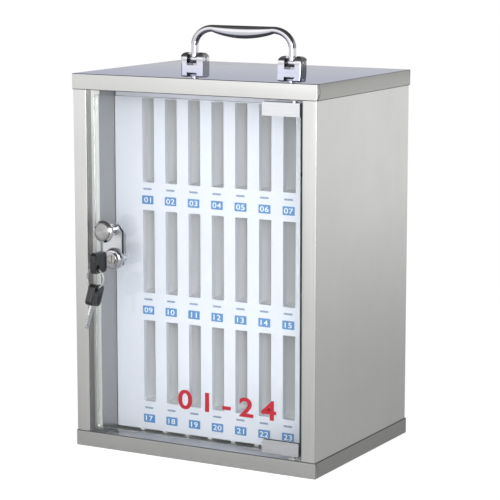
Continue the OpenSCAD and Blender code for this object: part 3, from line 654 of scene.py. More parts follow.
def bent_strip(points, thickness, outer_r, steps=5):
    """The outline of a sheet bent along points, which lies to the right of them."""
    line = [Vector(p) for p in points]
    inner_r = max(outer_r - thickness, INNER_BEND)
    left, right = [], []
    for i, p in enumerate(line):
        before = (p - line[i - 1]).normalized() if i else None
        after = (line[i + 1] - p).normalized() if i < len(line) - 1 else None
        way = before or after
        aside = Vector((way.y, -way.x))
        if before is None or after is None:
            left.append(p)
            right.append(p + aside * thickness)
            continue
        rightward = before.x * after.y - before.y * after.x < 0
        across = p + (aside + Vector((after.y, -after.x))) * thickness
        for side, corner, r in ((left, p, outer_r if rightward else inner_r),
                                (right, across, inner_r if rightward else outer_r)):
            start, end = corner - before * r, corner + after * r
            centre = start + (aside if rightward else -aside) * r
            a0 = math.degrees(math.atan2(start.y - centre.y, start.x - centre.x))
            a1 = math.degrees(math.atan2(end.y - centre.y, end.x - centre.x))
            a1 += 360 * round((a0 - a1) / 360)
            side.extend(arc(centre.x, centre.y, r, a0, a1, steps))
    return [tuple(p) for p in left + right[::-1]]


# Points this close, in metres, are one, and so are faces at this small an angle
SAME_POINT, SAME_PLANE = 2e-6, 0.4


def node_bmesh(node):
    """The CAD node's own mesh, in metres, with its points joined."""
    bm = bmesh.new()
    bm.from_mesh(frame["nodes"][node].data)
    bmesh.ops.remove_doubles(bm, verts=bm.verts, dist=SAME_POINT)
    return bm


def cad_copy(node, name, materials, slot, bevel):
    """The CAD node's own shape with its edges rounded."""
    bm = node_bmesh(node)
    bmesh.ops.dissolve_limit(bm, angle_limit=math.radians(SAME_PLANE), verts=bm.verts,
                             edges=bm.edges)
    bmesh.ops.scale(bm, vec=(1 / MM, 1 / MM, 1 / MM), verts=bm.verts)
    for face in bm.faces:
        face.material_index = 0
    return finish_mesh(name, bm, materials, body_of(node), slot, (node,), bevel, 30, 3)


def round_solids(node):
    """A node's separate round solids along Y: x, z, radius, front and back of each."""
    bm = node_bmesh(node)
    left, found = set(bm.verts), []
    while left:
        stack = [left.pop()]
        group = list(stack)
        while stack:
            for edge in stack.pop().link_edges:
                for v in edge.verts:
                    if v in left:
                        left.remove(v)
                        stack.append(v)
                        group.append(v)
        x0, y0, z0, x1, y1, z1 = (f(v.co[i] for v in group) / MM for f in (min, max)
                                  for i in range(3))
        found.append(((x0 + x1) / 2, (z0 + z1) / 2, (x1 - x0) / 2, y0, y1))
    bm.free()
    return sorted(found)


# ---- cabinet

HALF_W, HALF_D, RIM = high("bottom_tray")
BODY_H = high("top_cover").z
SIDE_OUT = high("right_side_panel").x
SHEET = HALF_W - SIDE_OUT
FRONT = -HALF_D
OPEN_X = low("right_side_panel").x
PAN_BEND, PAN_CORNER_R = 1.1, 0.25
EDGE_CUT, EDGE_ROUND = 0.9, 0.15
RIM_RETURN = 14.0


def upward(z):
    """A height in the tray."""
    return z


def downward(z):
    """The same height in the cover, which is the pan upside down."""
    return BODY_H - z


def add_pan(bm, turn):
    """The folded pan: a flat base and four rims, lofted with round bends. Each ring of the loft
    has an inset from the outside and a height."""
    inner = PAN_BEND - SHEET + 0.2
    rings = [(PAN_BEND * (1 - sin(a)), PAN_BEND * (1 - cos(a))) for a in range(0, 91, 15)]
    rings += [(0, RIM - EDGE_CUT), (EDGE_CUT * 0.6, RIM), (SHEET - EDGE_ROUND, RIM),
              (SHEET, RIM - EDGE_ROUND)]
    rings += [(SHEET + inner * (1 - cos(a)), SHEET + inner * (1 - sin(a)))
              for a in range(0, 91, 30)]
    add_loft(bm, [[(x, y, turn(z)) for x, y in rounded(
        inset - HALF_W, inset - HALF_D, HALF_W - inset, HALF_D - inset,
        max(PAN_BEND - inset, PAN_CORNER_R), 4)] for inset, z in rings])


TAB_W, TAB_FOOT_W, TAB_KNEE_Z, TAB_LAP = 7.0, 4.2, RIM * 0.55, 0.6
SEAM_W, SEAM_DEPTH = 0.75, 0.7


def seam_cutters(turn):
    """The seams of the corner tabs on both side rims, and the reliefs at the rear corners."""
    knee, foot, relief_z = FRONT + TAB_W, FRONT + TAB_FOOT_W, RIM * 0.5
    tab = [(FRONT - PAST, RIM + PAST), (FRONT + SEAM_W, RIM + PAST),
           (knee + SEAM_W, TAB_KNEE_Z), (foot + SEAM_W, -PAST), (foot, -PAST),
           (knee, TAB_KNEE_Z), (FRONT - PAST, RIM - TAB_LAP)]
    relief = [(HALF_D - 3.5, -PAST), (HALF_D - 2.4, -PAST), (HALF_D - 0.7, relief_z),
              (HALF_D - 1.1, relief_z)]
    bm = bmesh.new()
    for side in (-1, 1):
        for outline in (tab, relief):
            add_prism(bm, [(y, turn(z)) for y, z in outline], "x",
                      side * (HALF_W - SEAM_DEPTH), side * (HALF_W + PAST))
    return bm


def pan_piece(name, node, turn):
    """A pan with the return of its front rim and the seams of its corners."""
    bm = bmesh.new()
    add_pan(bm, turn)
    half, (z0, z1) = OPEN_X - 0.5, sorted((turn(RIM - SHEET), turn(RIM - 0.02)))
    add_block(bm, (-half, FRONT + SHEET * 0.9, z0), (half, FRONT + RIM_RETURN, z1))
    piece = finish_mesh(name, bm, [STEEL_X, STEEL_Y_PAINTED_SHADE, POLISHED, CUT_EDGE_AND_SHADE, STEEL_BEND], "cabinet",
                        "brushed_stainless", (node,))
    carve(piece, seam_cutters(turn), 28)

    def material(centre, normal):
        outside = max(abs(centre.x) - HALF_W, abs(centre.y) - HALF_D) > -EDGE_CUT
        on_top = normal.z > 0.9 and centre.z > BODY_H - 0.2
        at_edge = turn(centre.z) > RIM - EDGE_CUT and abs(normal.z) > 0.3
        leaning = 0.15 < abs(normal.z) < 0.98
        if on_top:
            return POLISHED
        # The rim's free edge takes the dark cut steel with its painted shade
        if outside and at_edge:
            return CUT_EDGE_AND_SHADE
        if leaning:
            return STEEL_BEND
        # Sideways faces take the darker steel with painted shade
        return STEEL_Y_PAINTED_SHADE if abs(normal.x) > 0.7 else STEEL_X

    paint_faces(piece, material)


PANEL_BEND = 1.0
REAR_FLANGE = 13.0
STILE_LAP = 3.0
STOP_RECESS = 12.0
STOP_W = OPEN_X + high("left_side_panel").x
JAMB_GAP = 0.2


def side_panel(name, node, side, stop_w):
    """One bent sheet: rear flange, side wall, front stile, jamb and, with a width, the stop."""
    rear, front, lap = HALF_D - 2 * SHEET, FRONT + SHEET, OPEN_X + STILE_LAP
    wall = bent_strip([(SIDE_OUT - REAR_FLANGE, rear), (SIDE_OUT, rear), (SIDE_OUT, front),
                       (lap, front)], SHEET, PANEL_BEND)
    stop_y = FRONT + STOP_RECESS
    end = [(OPEN_X, stop_y), (OPEN_X - stop_w, stop_y)] if stop_w else [(OPEN_X, stop_y + SHEET)]
    jamb = bent_strip([(lap, front), (OPEN_X, front)] + end, SHEET, PANEL_BEND)
    bm = bmesh.new()
    for outline, z0, z1 in ((wall, low(node).z, high(node).z),
                            (jamb, RIM + JAMB_GAP, BODY_H - RIM - JAMB_GAP)):
        add_prism(bm, [(side * x, y) for x, y in outline], "z", z0, z1)
    piece = finish_mesh(name, bm, [STEEL_Z, STEEL_INSIDE_PAINTED_SHADE, STEEL_BEND], "cabinet",
                        "brushed_stainless", (node,), sharp=30)

    def material(centre, normal):
        upright = normal.z == 0
        bent = max(abs(normal.x), abs(normal.y)) < 0.97
        inside = abs(centre.x) < SIDE_OUT - SHEET / 2 and centre.y > front + SHEET / 2
        if upright and bent:
            return STEEL_BEND
        # Inner faces of the wall take the steel with painted shade
        return STEEL_INSIDE_PAINTED_SHADE if inside and abs(normal.x) > 0.7 else None

    paint_faces(piece, material)


def back_panel():
    """The flat sheet that closes the rear."""
    bm = bmesh.new()
    add_block(bm, low("back_panel"), high("back_panel"))
    finish_mesh("back_sheet", bm, [STEEL_Z], "cabinet", "brushed_stainless", ("back_panel",),
                bevel=0.2)


def cross_cutter(bm, centre, size, depth):
    """A cross recess in a screw's head that faces +Y, narrower at its floor."""
    a, b, floor, proud = size / 2, size * 0.13, 0.45, 0.2
    cross = [(a, -b), (a, b), (b, b), (b, a), (-b, a), (-b, b),
             (-a, b), (-a, -b), (-b, -b), (-b, -a), (b, -a), (b, -b)]
    add_loft(bm, [[Vector(centre) + Vector((u * share, y, v * share)) for u, v in cross]
                  for share, y in ((1.0, proud), (floor, -depth))])


def rack_screws():
    """Four low-headed screws with cross recesses, seen from behind."""
    bm, cutter = bmesh.new(), bmesh.new()
    for x, z, head, tip, top in round_solids("rack_screws"):
        shank, seat, rim, crown = head / 2, top - SHEET, top - SHEET + 0.3, top - SHEET + 0.75
        add_turned(bm, x, z, [(0, tip), (shank, tip), (shank, seat), (head, seat), (head, rim),
                              (head * 0.8, crown), (head * 0.45, top), (0, top)], 40)
        cross_cutter(cutter, (x, top, z), head * 1.1, 1.3)
    piece = finish_mesh("rack_screw_set", bm, [PLATED], "cabinet", "plated_steel",
                        ("rack_screws",))
    carve(piece, cutter, 30)


# ---- rack

# How far a slot's edges lie outside its opening in the record
SLOT_EDGE_X, SLOT_EDGE_Z = 0.2, 0.3


def slot_places():
    """Each slot's number with its left, lower, right and upper edge."""
    places = {}
    for opening in frame["record"]["physics"]["openings"]:
        if opening["name"].startswith("phone_slot_"):
            (x0, _, z0), (x1, _, z1) = opening["box_m"]
            places[int(opening["name"][-2:])] = (
                x0 / MM - SLOT_EDGE_X, z0 / MM - SLOT_EDGE_Z,
                x1 / MM + SLOT_EDGE_X, z1 / MM + SLOT_EDGE_Z)
    return places


SLOTS = slot_places()
PANEL_FACE = low("rack_panel_rails").y
BOTTOM_LEFT = min(SLOTS.values(), key=lambda slot: (slot[1], slot[0]))
TOP_RIGHT = max(SLOTS.values(), key=lambda slot: (slot[1], slot[0]))


def rack_front():
    """One white board with its slots, their edges slightly rounded."""
    a, b = low("rack_panel_rails"), high("rack_panel_rails")
    slots = [[round(edge, 3) for edge in slot] for slot in SLOTS.values()]
    xs = sorted({a.x, b.x} | {slot[i] for slot in slots for i in (0, 2)})
    zs = sorted({a.z, b.z} | {slot[i] for slot in slots for i in (1, 3)})
    holes = {(xs.index(slot[0]), zs.index(slot[1])) for slot in slots}
    bm = bmesh.new()
    grid = [[bm.verts.new((x, a.y, z)) for z in zs] for x in xs]
    for i, (left, right) in enumerate(zip(grid, grid[1:])):
        for k in range(len(zs) - 1):
            if (i, k) not in holes:
                bm.faces.new((left[k], right[k], right[k + 1], left[k + 1]))
    rear = bmesh.ops.extrude_face_region(bm, geom=bm.faces)["geom"]
    bmesh.ops.translate(bm, vec=(0, b.y - a.y, 0),
                        verts=[part for part in rear if isinstance(part, bmesh.types.BMVert)])
    finish_mesh("rack_front_board", bm, [BOARD], "cabinet", "white_board",
                ("rack_panel_rails", "rack_panel_posts"), bevel=0.45, segments=3)


# Half the thickness of the lettering
INK = 0.06
FONT_SIZE = 10


def add_lettering(bm, text, centre, height, weight, spacing, width=None, widen=1.0):
    """Upright text facing the front round a centre, with a height and maybe a width."""
    curve = bpy.data.curves.new("lettering", "FONT")
    curve.body = text
    curve.align_x, curve.align_y = "CENTER", "CENTER"
    curve.size = FONT_SIZE
    curve.extrude = INK
    curve.offset = weight
    curve.space_character = spacing
    curve.resolution_u = 6
    carrier = put("lettering", curve)
    mesh = applied_mesh(carrier)
    bpy.data.objects.remove(carrier)
    bpy.data.curves.remove(curve)
    (x0, x1), (y0, y1) = ([f(v.co[i] for v in mesh.vertices) for f in (min, max)] for i in (0, 1))
    scale = height / (y1 - y0)
    scale_x = width / (x1 - x0) if width else scale * widen
    for v in mesh.vertices:
        x, y, z = v.co
        v.co = Vector(((x - (x0 + x1) / 2) * scale_x, -z, (y - (y0 + y1) / 2) * scale)) + centre
    bm.from_mesh(mesh)
    bpy.data.meshes.remove(mesh)


TAG_CORNER_R = 0.7
DIGIT_H = 6.4
# The ends of each ink mark, from its slot's left and lower edge
CAPTION_X, CAPTION_Z, CAPTION_CORNER_R = (1.2, 13.0), (-9.4, -7.0), 0.9


def number_tags():
    """A blue tag below each slot, with its white number and a plain ink mark above it."""
    a, b = low("number_tags"), high("number_tags")
    dx, dz = a.x - BOTTOM_LEFT[0], a.z - BOTTOM_LEFT[1]
    width, height = b.x - dx - TOP_RIGHT[0], b.z - dz - TOP_RIGHT[1]
    tags, numbers, captions = bmesh.new(), bmesh.new(), bmesh.new()
    for number, (x, z, _, _) in sorted(SLOTS.items()):
        left, bottom = x + dx, z + dz
        tag = rounded(left, bottom, left + width, bottom + height, TAG_CORNER_R, 3)
        add_prism(tags, tag, "y", a.y, b.y)
        centre = Vector((left + width / 2, a.y - INK, bottom + height / 2))
        add_lettering(numbers, f"{number:02d}", centre, DIGIT_H, 0.04, 1.08, widen=1.3)
        caption = rounded(x + CAPTION_X[0], z + CAPTION_Z[0], x + CAPTION_X[1],
                          z + CAPTION_Z[1], CAPTION_CORNER_R, 3)
        add_prism(captions, caption, "y", PANEL_FACE - 2 * INK, PANEL_FACE)
    finish_mesh("number_tag_set", tags, [TAG_BLUE], "cabinet", "blue_tag", ("number_tags",),
                bevel=0.12)
    finish_mesh("tag_numbers", numbers, [TAG_WHITE], "cabinet", "blue_tag")
    finish_mesh("slot_captions", captions, [CAPTION], "cabinet", "blue_tag")


# ---- glass door

GLASS_LOW, GLASS_HIGH = low("door_glass"), high("door_glass")
GLASS_CORNER_R = 3.0
BARREL_HOLE_R, SCREW_HOLE_R = 8.3, 2.3


def door_glass():
    """The pane, with two drilled holes and ground green edges."""
    bm, cutter = bmesh.new(), bmesh.new()
    add_prism(bm, rounded(GLASS_LOW.x, GLASS_LOW.z, GLASS_HIGH.x, GLASS_HIGH.z, GLASS_CORNER_R, 6),
              "y", GLASS_LOW.y, GLASS_HIGH.y)
    piece = finish_mesh("glass_pane", bm, [GLASS, GLASS_EDGE], "door", "clear_glass",
                        ("door_glass",))
    front, rear = GLASS_LOW.y - PAST, GLASS_HIGH.y + PAST
    for x, z, r in ((LOCK_X, LOCK_Z, BARREL_HOLE_R), (KNOB_X, KNOB_Z, SCREW_HOLE_R)):
        add_turned(cutter, x, z, [(0, front), (r, front), (r, rear), (0, rear)], 48)
    carve(piece, cutter, 35)
    paint_faces(piece, lambda centre, normal: GLASS if abs(normal.y) > 0.9 else GLASS_EDGE)
    soften(piece, 0.5, sharp=50)


# The left, right, lower and upper edge of the numbers on the glass
GLASS_TEXT = (-22.0, 109.0, 60.5, 84.0)


def glass_numbers():
    """Large red numbers on the outside of the glass."""
    x0, x1, z0, z1 = GLASS_TEXT
    bm = bmesh.new()
    centre = Vector(((x0 + x1) / 2, GLASS_LOW.y - INK, (z0 + z1) / 2))
    add_lettering(bm, "01-24", centre, z1 - z0, 0.22, 1.5, width=x1 - x0)
    finish_mesh("glass_numbers", bm, [RED], "door")


def bumpers():
    """Clear self-adhesive domes between the glass and the stop."""
    foot = 0.3
    bm = bmesh.new()
    for x, z, r, front, top in round_solids("door_bumpers"):
        dome = [(r * cos(a), front + foot + (top - front - foot) * sin(a))
                for a in range(0, 90, 15)]
        add_turned(bm, x, z, [(0, front), (r, front)] + dome + [(0, top)], 32)
    finish_mesh("bumper_domes", bm, [BUMPER], "door", "clear_bumper", ("door_bumpers",))


# ---- lock and knob

PLATE_F = low("lock_plate").y
LOCK_F, LOCK_B = low("lock_housing").y, high("lock_housing").y
BEZEL_R, PLUG_R = radius("lock_housing"), radius("lock_plug")
BARREL_R = 8.0
LIP_W, LIP_ROUND = 2.2, 0.7
DOME_START, DOME_FOOT = 2.0, 1.2


def lock_housing():
    """Chrome housing: a lip round the plug, a dome down to the plate, and its barrel."""
    lip, bore, edge = PLUG_R + LIP_W, PLUG_R + 0.05, 0.3
    dome_f, dome_b, dome_r = LOCK_F + DOME_START, PLATE_F - DOME_FOOT, lip + edge
    outline = [(bore, LOCK_F + edge), (bore + edge, LOCK_F)]
    outline += [(lip - LIP_ROUND * (1 - sin(a)), LOCK_F + LIP_ROUND * (1 - cos(a)))
                for a in range(0, 91, 18)]
    outline += [(lip, dome_f - 0.4), (lip + 0.25, dome_f - 0.08)]
    outline += [(dome_r + (BEZEL_R - dome_r) * sin(a), dome_b - (dome_b - dome_f) * cos(a))
                for a in range(5, 91, 8)]
    outline += [(BEZEL_R, PLATE_F - edge), (BEZEL_R - edge, PLATE_F), (BARREL_R, PLATE_F),
                (BARREL_R, LOCK_B - 0.4), (BARREL_R - 0.4, LOCK_B), (bore, LOCK_B)]
    bm = bmesh.new()
    add_revolved(bm, (LOCK_X, 0, LOCK_Z), "y", outline, 96)
    finish_mesh("lock_bezel", bm, [CHROME], "door", "chrome", ("lock_housing",), sharp=40)


KNOB_R, KNOB_F, KNOB_B = radius("knob"), low("knob").y, high("knob").y
STEM_R = 4.5
# The groove round the knob's face: how far its two edges lie from the rim, and its depth
GROOVE_IN, GROOVE_OUT, GROOVE_DEPTH = 3.7, 2.7, 1.1


def knob():
    """Spun face, a groove darkened with painted shade, a bright bevelled shoulder, a rim and a
    cone down to the stem.
    """
    r, inner, outer = KNOB_R, KNOB_R - GROOVE_IN, KNOB_R - GROOVE_OUT
    # Pairs of a radius and a depth behind the front of the face
    face = [(0, 0), (4.0, 0.02), (7.0, 0.07), (inner - 0.2, 0.14), (inner, 0.3)]
    groove = [(inner + 0.1, GROOVE_DEPTH), (outer - 0.1, GROOVE_DEPTH)]
    shoulder = [(outer, 0.5), (r - 0.7, 1.8), (r - 0.2, 2.3), (r, 3.0), (r, 3.8),
                (r - 0.25, 4.2), (r - 2.2, 5.2)]
    stem = [(STEM_R + 2.2, 7.3), (STEM_R + 0.6, 8.6), (STEM_R, 9.8), (STEM_R, KNOB_B - KNOB_F),
            (0, KNOB_B - KNOB_F)]
    bm = bmesh.new()
    add_turned(bm, KNOB_X, KNOB_Z,
               [(r, KNOB_F + depth) for r, depth in face + groove + shoulder + stem], 96)
    piece = finish_mesh("pull_knob", bm, [CHROME, KNOB_FACE, CHROME_PAINTED_SHADE], "door", "satin_knob",
                        ("knob",), sharp=38)

    def material(centre, normal):
        away = math.hypot(centre.x - KNOB_X, centre.z - KNOB_Z)
        depth = centre.y - KNOB_F
        if depth < 0.35 and away < inner:
            return KNOB_FACE
        # The groove takes the chrome with painted shade
        return CHROME_PAINTED_SHADE if depth < GROOVE_DEPTH + 0.1 and away < outer else None

    paint_faces(piece, material)


def knob_collar():
    """The ring at the foot of the knob's stem, with a round outer edge."""
    a, b, r = low("knob_collar"), high("knob_collar"), radius("knob_collar")
    bore, edge, curve = STEM_R + 0.02, 0.3, 1.0
    outline = [(bore, a.y + edge), (bore + edge, a.y), (r - curve - 0.2, a.y)]
    outline += [(r - curve * (1 - sin(t)), a.y + curve * (1 - cos(t))) for t in range(10, 91, 16)]
    outline += [(r, b.y - 0.2), (r - 0.2, b.y), (bore, b.y)]
    bm = bmesh.new()
    add_revolved(bm, (KNOB_X, 0, KNOB_Z), "y", outline)
    finish_mesh("knob_foot", bm, [CHROME], "door", "chrome", ("knob_collar",), sharp=40)


# ---- keys

RING_X, HOLE_Y, RING_Z = middle("key_ring")
RING_R = radius("key_ring")
BOW_HALF_T, BOW_HALF_W = radius("key_bow"), radius("key_bow", "z")
BOW_F, BOW_B = low("key_bow").y - HOLE_Y, high("key_bow").y - HOLE_Y
BOW_CORNER_R, BOW_ROUND, BOW_EDGE = 5.0, 1.3, 0.22
# The hole for the ring lies this far off the blade's line
HOLE_OFF = 5.0
HOLE_Z = LOCK_Z - HOLE_OFF
HOLE_R, HOLE_FLARE, FLARE_DEPTH = 3.3, 0.8, 0.9
# Cuts in each side of a bow: start, end, half width, corner radius and its steps, depth
SUNK_PANEL = (6.2, 16.8, 6.8, 1.6, 4, 0.8)
SUNK_LINE = (4.4, 4.9, 9.4, 0.2, 2, 0.35)
BLADE_ROOT, BLADE_GAP = 6.1, 0.05
SPARE_LEAN, SPARE_TILT = 9, 12

# A bow is built round the middle of its hole and then put in its place
IN_LOCK = Matrix.Translation((LOCK_X, HOLE_Y, HOLE_Z))
ON_RING = (Matrix.Translation((RING_X, HOLE_Y, RING_Z))
           @ Matrix.Rotation(math.radians(SPARE_LEAN), 4, "Y")
           @ Matrix.Translation((0, 0, RING_Z - HOLE_Z))
           @ Matrix.Rotation(math.radians(-90 - SPARE_TILT), 4, "X"))


def key_bow(name, node, place):
    """A moulded bow: soft edges, a hole with a rim, a sunk panel on each side."""
    bm, cutter = bmesh.new(), bmesh.new()
    add_prism(bm, rounded(BOW_F, HOLE_OFF - BOW_HALF_W, BOW_B, HOLE_OFF + BOW_HALF_W,
                          BOW_CORNER_R, 8), "x", -BOW_HALF_T, BOW_HALF_T)
    bmesh.ops.transform(bm, matrix=place, verts=bm.verts)
    piece = finish_mesh(name, bm, [PLASTIC], body_of(node), "black_plastic", (node,))
    soften(piece, BOW_ROUND, 40, 4)
    apply_modifiers(piece)
    axis, mouth = 0.001, HOLE_R + HOLE_FLARE
    out, throat = BOW_HALF_T + PAST, BOW_HALF_T - FLARE_DEPTH
    add_revolved(cutter, (0, 0, 0), "x", [(axis, -out), (mouth, -out), (HOLE_R, -throat),
                                          (HOLE_R, throat), (mouth, out), (axis, out)], 40)
    for side in (-1, 1):
        for start, end, half_w, corner_r, steps, depth in (SUNK_PANEL, SUNK_LINE):
            outline = rounded(start, HOLE_OFF - half_w, end, HOLE_OFF + half_w, corner_r, steps)
            add_prism(cutter, outline, "x", side * (BOW_HALF_T - depth), side * out)
    half = (high("key_blade") - low("key_blade")) / 2 + Vector((BLADE_GAP, 0, BLADE_GAP))
    add_block(cutter, (-half.x, BOW_B - BLADE_ROOT, HOLE_OFF - half.z),
              (half.x, BOW_B + PAST, HOLE_OFF + half.z))
    bmesh.ops.transform(cutter, matrix=place, verts=cutter.verts)
    carve(piece, cutter, 40)
    soften(piece, BOW_EDGE, sharp=40)


# The ring's wire: half its width and height, and how far each turn lies off the middle
WIRE_HALF_R, WIRE_HALF_Y, WIRE_OFFSET = 0.72, 0.36, 0.39
WIRE_MIDDLE_R = RING_R - 0.9
WIRE_CORNER_R = 0.3
# Counted in turns: where the wire starts and ends, half its step to the other side, its angle
WIRE_START, WIRE_END, STEP_HALF, STEP_TURN = 0.035, 1.965, 0.03, 0.40
WIRE_STEPS = 180


def key_ring():
    """A split ring: two flat turns of wire, with the step where they cross."""
    section = rounded(-WIRE_HALF_R, -WIRE_HALF_Y, WIRE_HALF_R, WIRE_HALF_Y, WIRE_CORNER_R, 3)
    rings = []
    for i in range(WIRE_STEPS + 1):
        turn = WIRE_START + (WIRE_END - WIRE_START) * i / WIRE_STEPS
        s = min(max((turn - 1 + STEP_HALF) / (2 * STEP_HALF), 0), 1)
        y = HOLE_Y + WIRE_OFFSET * (2 * s * s * (3 - 2 * s) - 1)
        a = 360 * (turn + STEP_TURN)
        rings.append([(RING_X + (WIRE_MIDDLE_R + u) * cos(a), y + v,
                       RING_Z + (WIRE_MIDDLE_R + u) * sin(a)) for u, v in section])
    bm = bmesh.new()
    add_loft(bm, rings)
    finish_mesh("split_ring", bm, [KEY_STEEL], "key_ring", "key_steel", ("key_ring",), sharp=50)


# ---- carrying handle

EYE_W, EYE_R, EYE_EDGE, EYE_BORE_EDGE = 12.8, 5.5, 0.9, 0.3
ARM_X = high("handle_bail").x - EYE_W / 2
PIN_Z, PIN_R = middle("handle_pins").z, radius("handle_pins", "z")
ARM_W, ARM_T = 8.5, 9.5
GRIP_H, GRIP_T = 15.5, 2 * radius("handle_bail", "y")
BAIL_LINE = high("handle_bail").z - ARM_W / 2
BEND_X, BEND_Z = 25.0, 21.0
# Near its eyes an arm grows this much in width and thickness, over this height
FOOT_W, FOOT_T, FOOT_H = 2.6, 0.9, 9.0
ARM_STEPS, BEND_STEPS, GRIP_STEPS, BAIL_SIDES = 12, 24, 48, 40
# Powers that shape the bail's section and the belly of its grip
SQUARENESS, BELLY = 0.86, 0.8


def bail_stations():
    """x, z, direction, width, thickness and drop along the bail's line, left to right."""
    arm, bend, grip = [], [], []
    for i in range(ARM_STEPS + 1):
        z = PIN_Z + (BAIL_LINE - BEND_Z - PIN_Z) * i / ARM_STEPS
        s = max(1 - (z - PIN_Z) / FOOT_H, 0) ** 2
        arm.append((-ARM_X, z, 90.0, ARM_W + FOOT_W * s, ARM_T + FOOT_T * s, 0.0))
    for i in range(1, BEND_STEPS + 1):
        a = 90 * i / BEND_STEPS
        way = math.degrees(math.atan2(BEND_Z * cos(a), BEND_X * sin(a)))
        bend.append((-ARM_X + BEND_X * (1 - cos(a)), BAIL_LINE - BEND_Z * (1 - sin(a)), way,
                     ARM_W, ARM_T, 0.0))
    half = ARM_X - BEND_X
    for i in range(1, GRIP_STEPS):
        k = sin(180 * i / GRIP_STEPS) ** BELLY
        width = ARM_W + (GRIP_H - ARM_W) * k
        grip.append((-half + 2 * half * i / GRIP_STEPS, BAIL_LINE, 0.0, width,
                     ARM_T + (GRIP_T - ARM_T) * k, (width - ARM_W) / 2))
    back = [(-x, z, -way, w, t, drop) for x, z, way, w, t, drop in reversed(arm + bend)]
    return arm + bend + grip + back


def squared(value):
    """A sine or cosine pushed outwards, which turns an ellipse towards a rectangle."""
    return math.copysign(abs(value) ** SQUARENESS, value)


def bail():
    """The chrome bail: one smooth sweep with a bellied grip, and an eye at each end."""
    rings = []
    for x, z, way, width, thick, drop in bail_stations():
        ring = []
        for j in range(BAIL_SIDES):
            a = 360 * j / BAIL_SIDES
            n = width / 2 * squared(cos(a))
            ring.append((x - n * sin(way), thick / 2 * squared(sin(a)), z + n * cos(way) - drop))
        rings.append(ring)
    bm = bmesh.new()
    add_loft(bm, rings)
    half, bore, inset = EYE_W / 2, PIN_R + 0.05, EYE_BORE_EDGE
    near = [(bore, -half + inset), (bore + inset, -half), (EYE_R - EYE_EDGE, -half),
            (EYE_R, -half + EYE_EDGE)]
    far = [(r, -x) for r, x in reversed(near)]
    for side in (-1, 1):
        add_revolved(bm, (side * ARM_X, 0, PIN_Z), "x", near + far, 48)
    finish_mesh("carrying_bail", bm, [CHROME], "handle", "chrome", ("handle_bail",), sharp=48)


SHOULDER_R, SHOULDER_SEGMENTS = 2.6, 6
# How far in from a bracket's outer face its cheek takes the painted shade
CHEEK_DEPTH = 1.5


def handle_bracket(side, node, name):
    """A cast bracket: a round shoulder along its outer ear, and an outer cheek darkened with
    painted shade.
    """
    piece = cad_copy(node, name, [CHROME, CHROME_PAINTED_SHADE], "chrome", None)
    outer, foot = (high(node) if side > 0 else low(node)).x, low(node).z
    bm = bmesh.new()
    bm.from_mesh(piece.data)

    def on_outline(v):
        x, y, z = v.co / MM
        return abs(x - outer) < 0.05 and math.hypot(y, z - PIN_Z) > PIN_R + 0.8

    edges = [e for e in bm.edges if all(on_outline(v) for v in e.verts)
             and max(v.co.z for v in e.verts) / MM > foot + 0.1
             and e.is_manifold and e.calc_face_angle() > math.radians(60)]
    bmesh.ops.bevel(bm, geom=edges, offset=SHOULDER_R * MM, offset_type="OFFSET",
                    segments=SHOULDER_SEGMENTS, profile=0.5, affect="EDGES", clamp_overlap=True)
    bm.to_mesh(piece.data)
    bm.free()
    piece.data.shade_smooth()
    soften(piece, 0.6, 40, 3)

    def material(centre, normal):
        # The outer cheek takes the chrome with painted shade
        on_cheek = normal.x * side > 0.5 and abs(centre.x - outer) < CHEEK_DEPTH
        return CHROME_PAINTED_SHADE if on_cheek else None

    paint_faces(piece, material)


# ---- putting it together

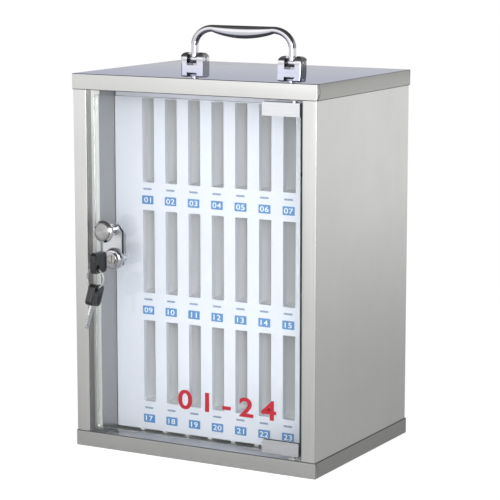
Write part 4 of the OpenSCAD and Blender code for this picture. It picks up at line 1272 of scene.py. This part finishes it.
# CAD nodes that keep their shape
KEPT_NODES = {
    "rack_dividers": BOARD_INSIDE_PAINTED_LIGHT, "rack_shelves": BOARD_INSIDE_PAINTED_LIGHT, "rack_back_board": BOARD_INSIDE_PAINTED_LIGHT,
    "rack_support_angles": PLATED, "pivot_bushes": NYLON,
    "handle_screws": PLATED, "handle_pins": PLATED, "hinge_clip_pads": RUBBER,
    "hinge_grub_screws": PLATED, "hinge_pivot_pins": PLATED, "lock_gaskets": RUBBER,
    "lock_wafers": BRASS}

# CAD nodes whose edges are rounded: node, piece, material (named as its slot), rounding
ROUNDED_COPIES = (
    ("hinge_clip_top", "upper_clip", CLIP, "satin_clip", 0.45),
    ("hinge_clip_bottom", "lower_clip", CLIP, "satin_clip", 0.45),
    ("lock_plate", "lock_face_plate", CLIP, "satin_clip", 0.3),
    ("lock_back_plate", "lock_inner_plate", CLIP, "satin_clip", 0.3),
    ("lock_nut", "barrel_nut", PLATED, "plated_steel", 0.3),
    ("knob_screw", "knob_fixing", PLATED, "plated_steel", 0.2),
    ("lock_plug", "keyed_plug", ZINC, "plug_zinc", 0.12),
    ("lock_cam", "cam_arm", PLATED, "plated_steel", 0.3),
    ("cam_nut", "cam_arm_nut", PLATED, "plated_steel", 0.25),
    ("key_blade", "key_steel", KEY_STEEL, "key_steel", 0.12),
    ("spare_key_blade", "spare_steel", KEY_STEEL, "key_steel", 0.12))


def build():
    """The camera and the light, then every piece."""
    add_camera()
    add_world()
    add_floor()
    bpy.context.scene.view_settings.view_transform = "Standard"
    for lamp in LAMPS:
        add_lamp(*lamp)
    pan_piece("tray_sheet", "bottom_tray", upward)
    pan_piece("cover_sheet", "top_cover", downward)
    side_panel("right_sheet", "right_side_panel", 1, 0)
    side_panel("left_sheet", "left_side_panel", -1, STOP_W)
    back_panel()
    rack_screws()
    rack_front()
    number_tags()
    door_glass()
    glass_numbers()
    bumpers()
    lock_housing()
    knob()
    knob_collar()
    key_bow("key_grip", "key_bow", IN_LOCK)
    key_bow("spare_grip", "spare_key_bow", ON_RING)
    key_ring()
    bail()
    handle_bracket(-1, "handle_bracket_left", "bail_bracket_left")
    handle_bracket(1, "handle_bracket_right", "bail_bracket_right")
    for node, name, material, slot, bevel in ROUNDED_COPIES:
        cad_copy(node, name, [material], slot, bevel)
    for node, material in KEPT_NODES.items():
        for slot in frame["nodes"][node].material_slots:
            slot.material = material


build()
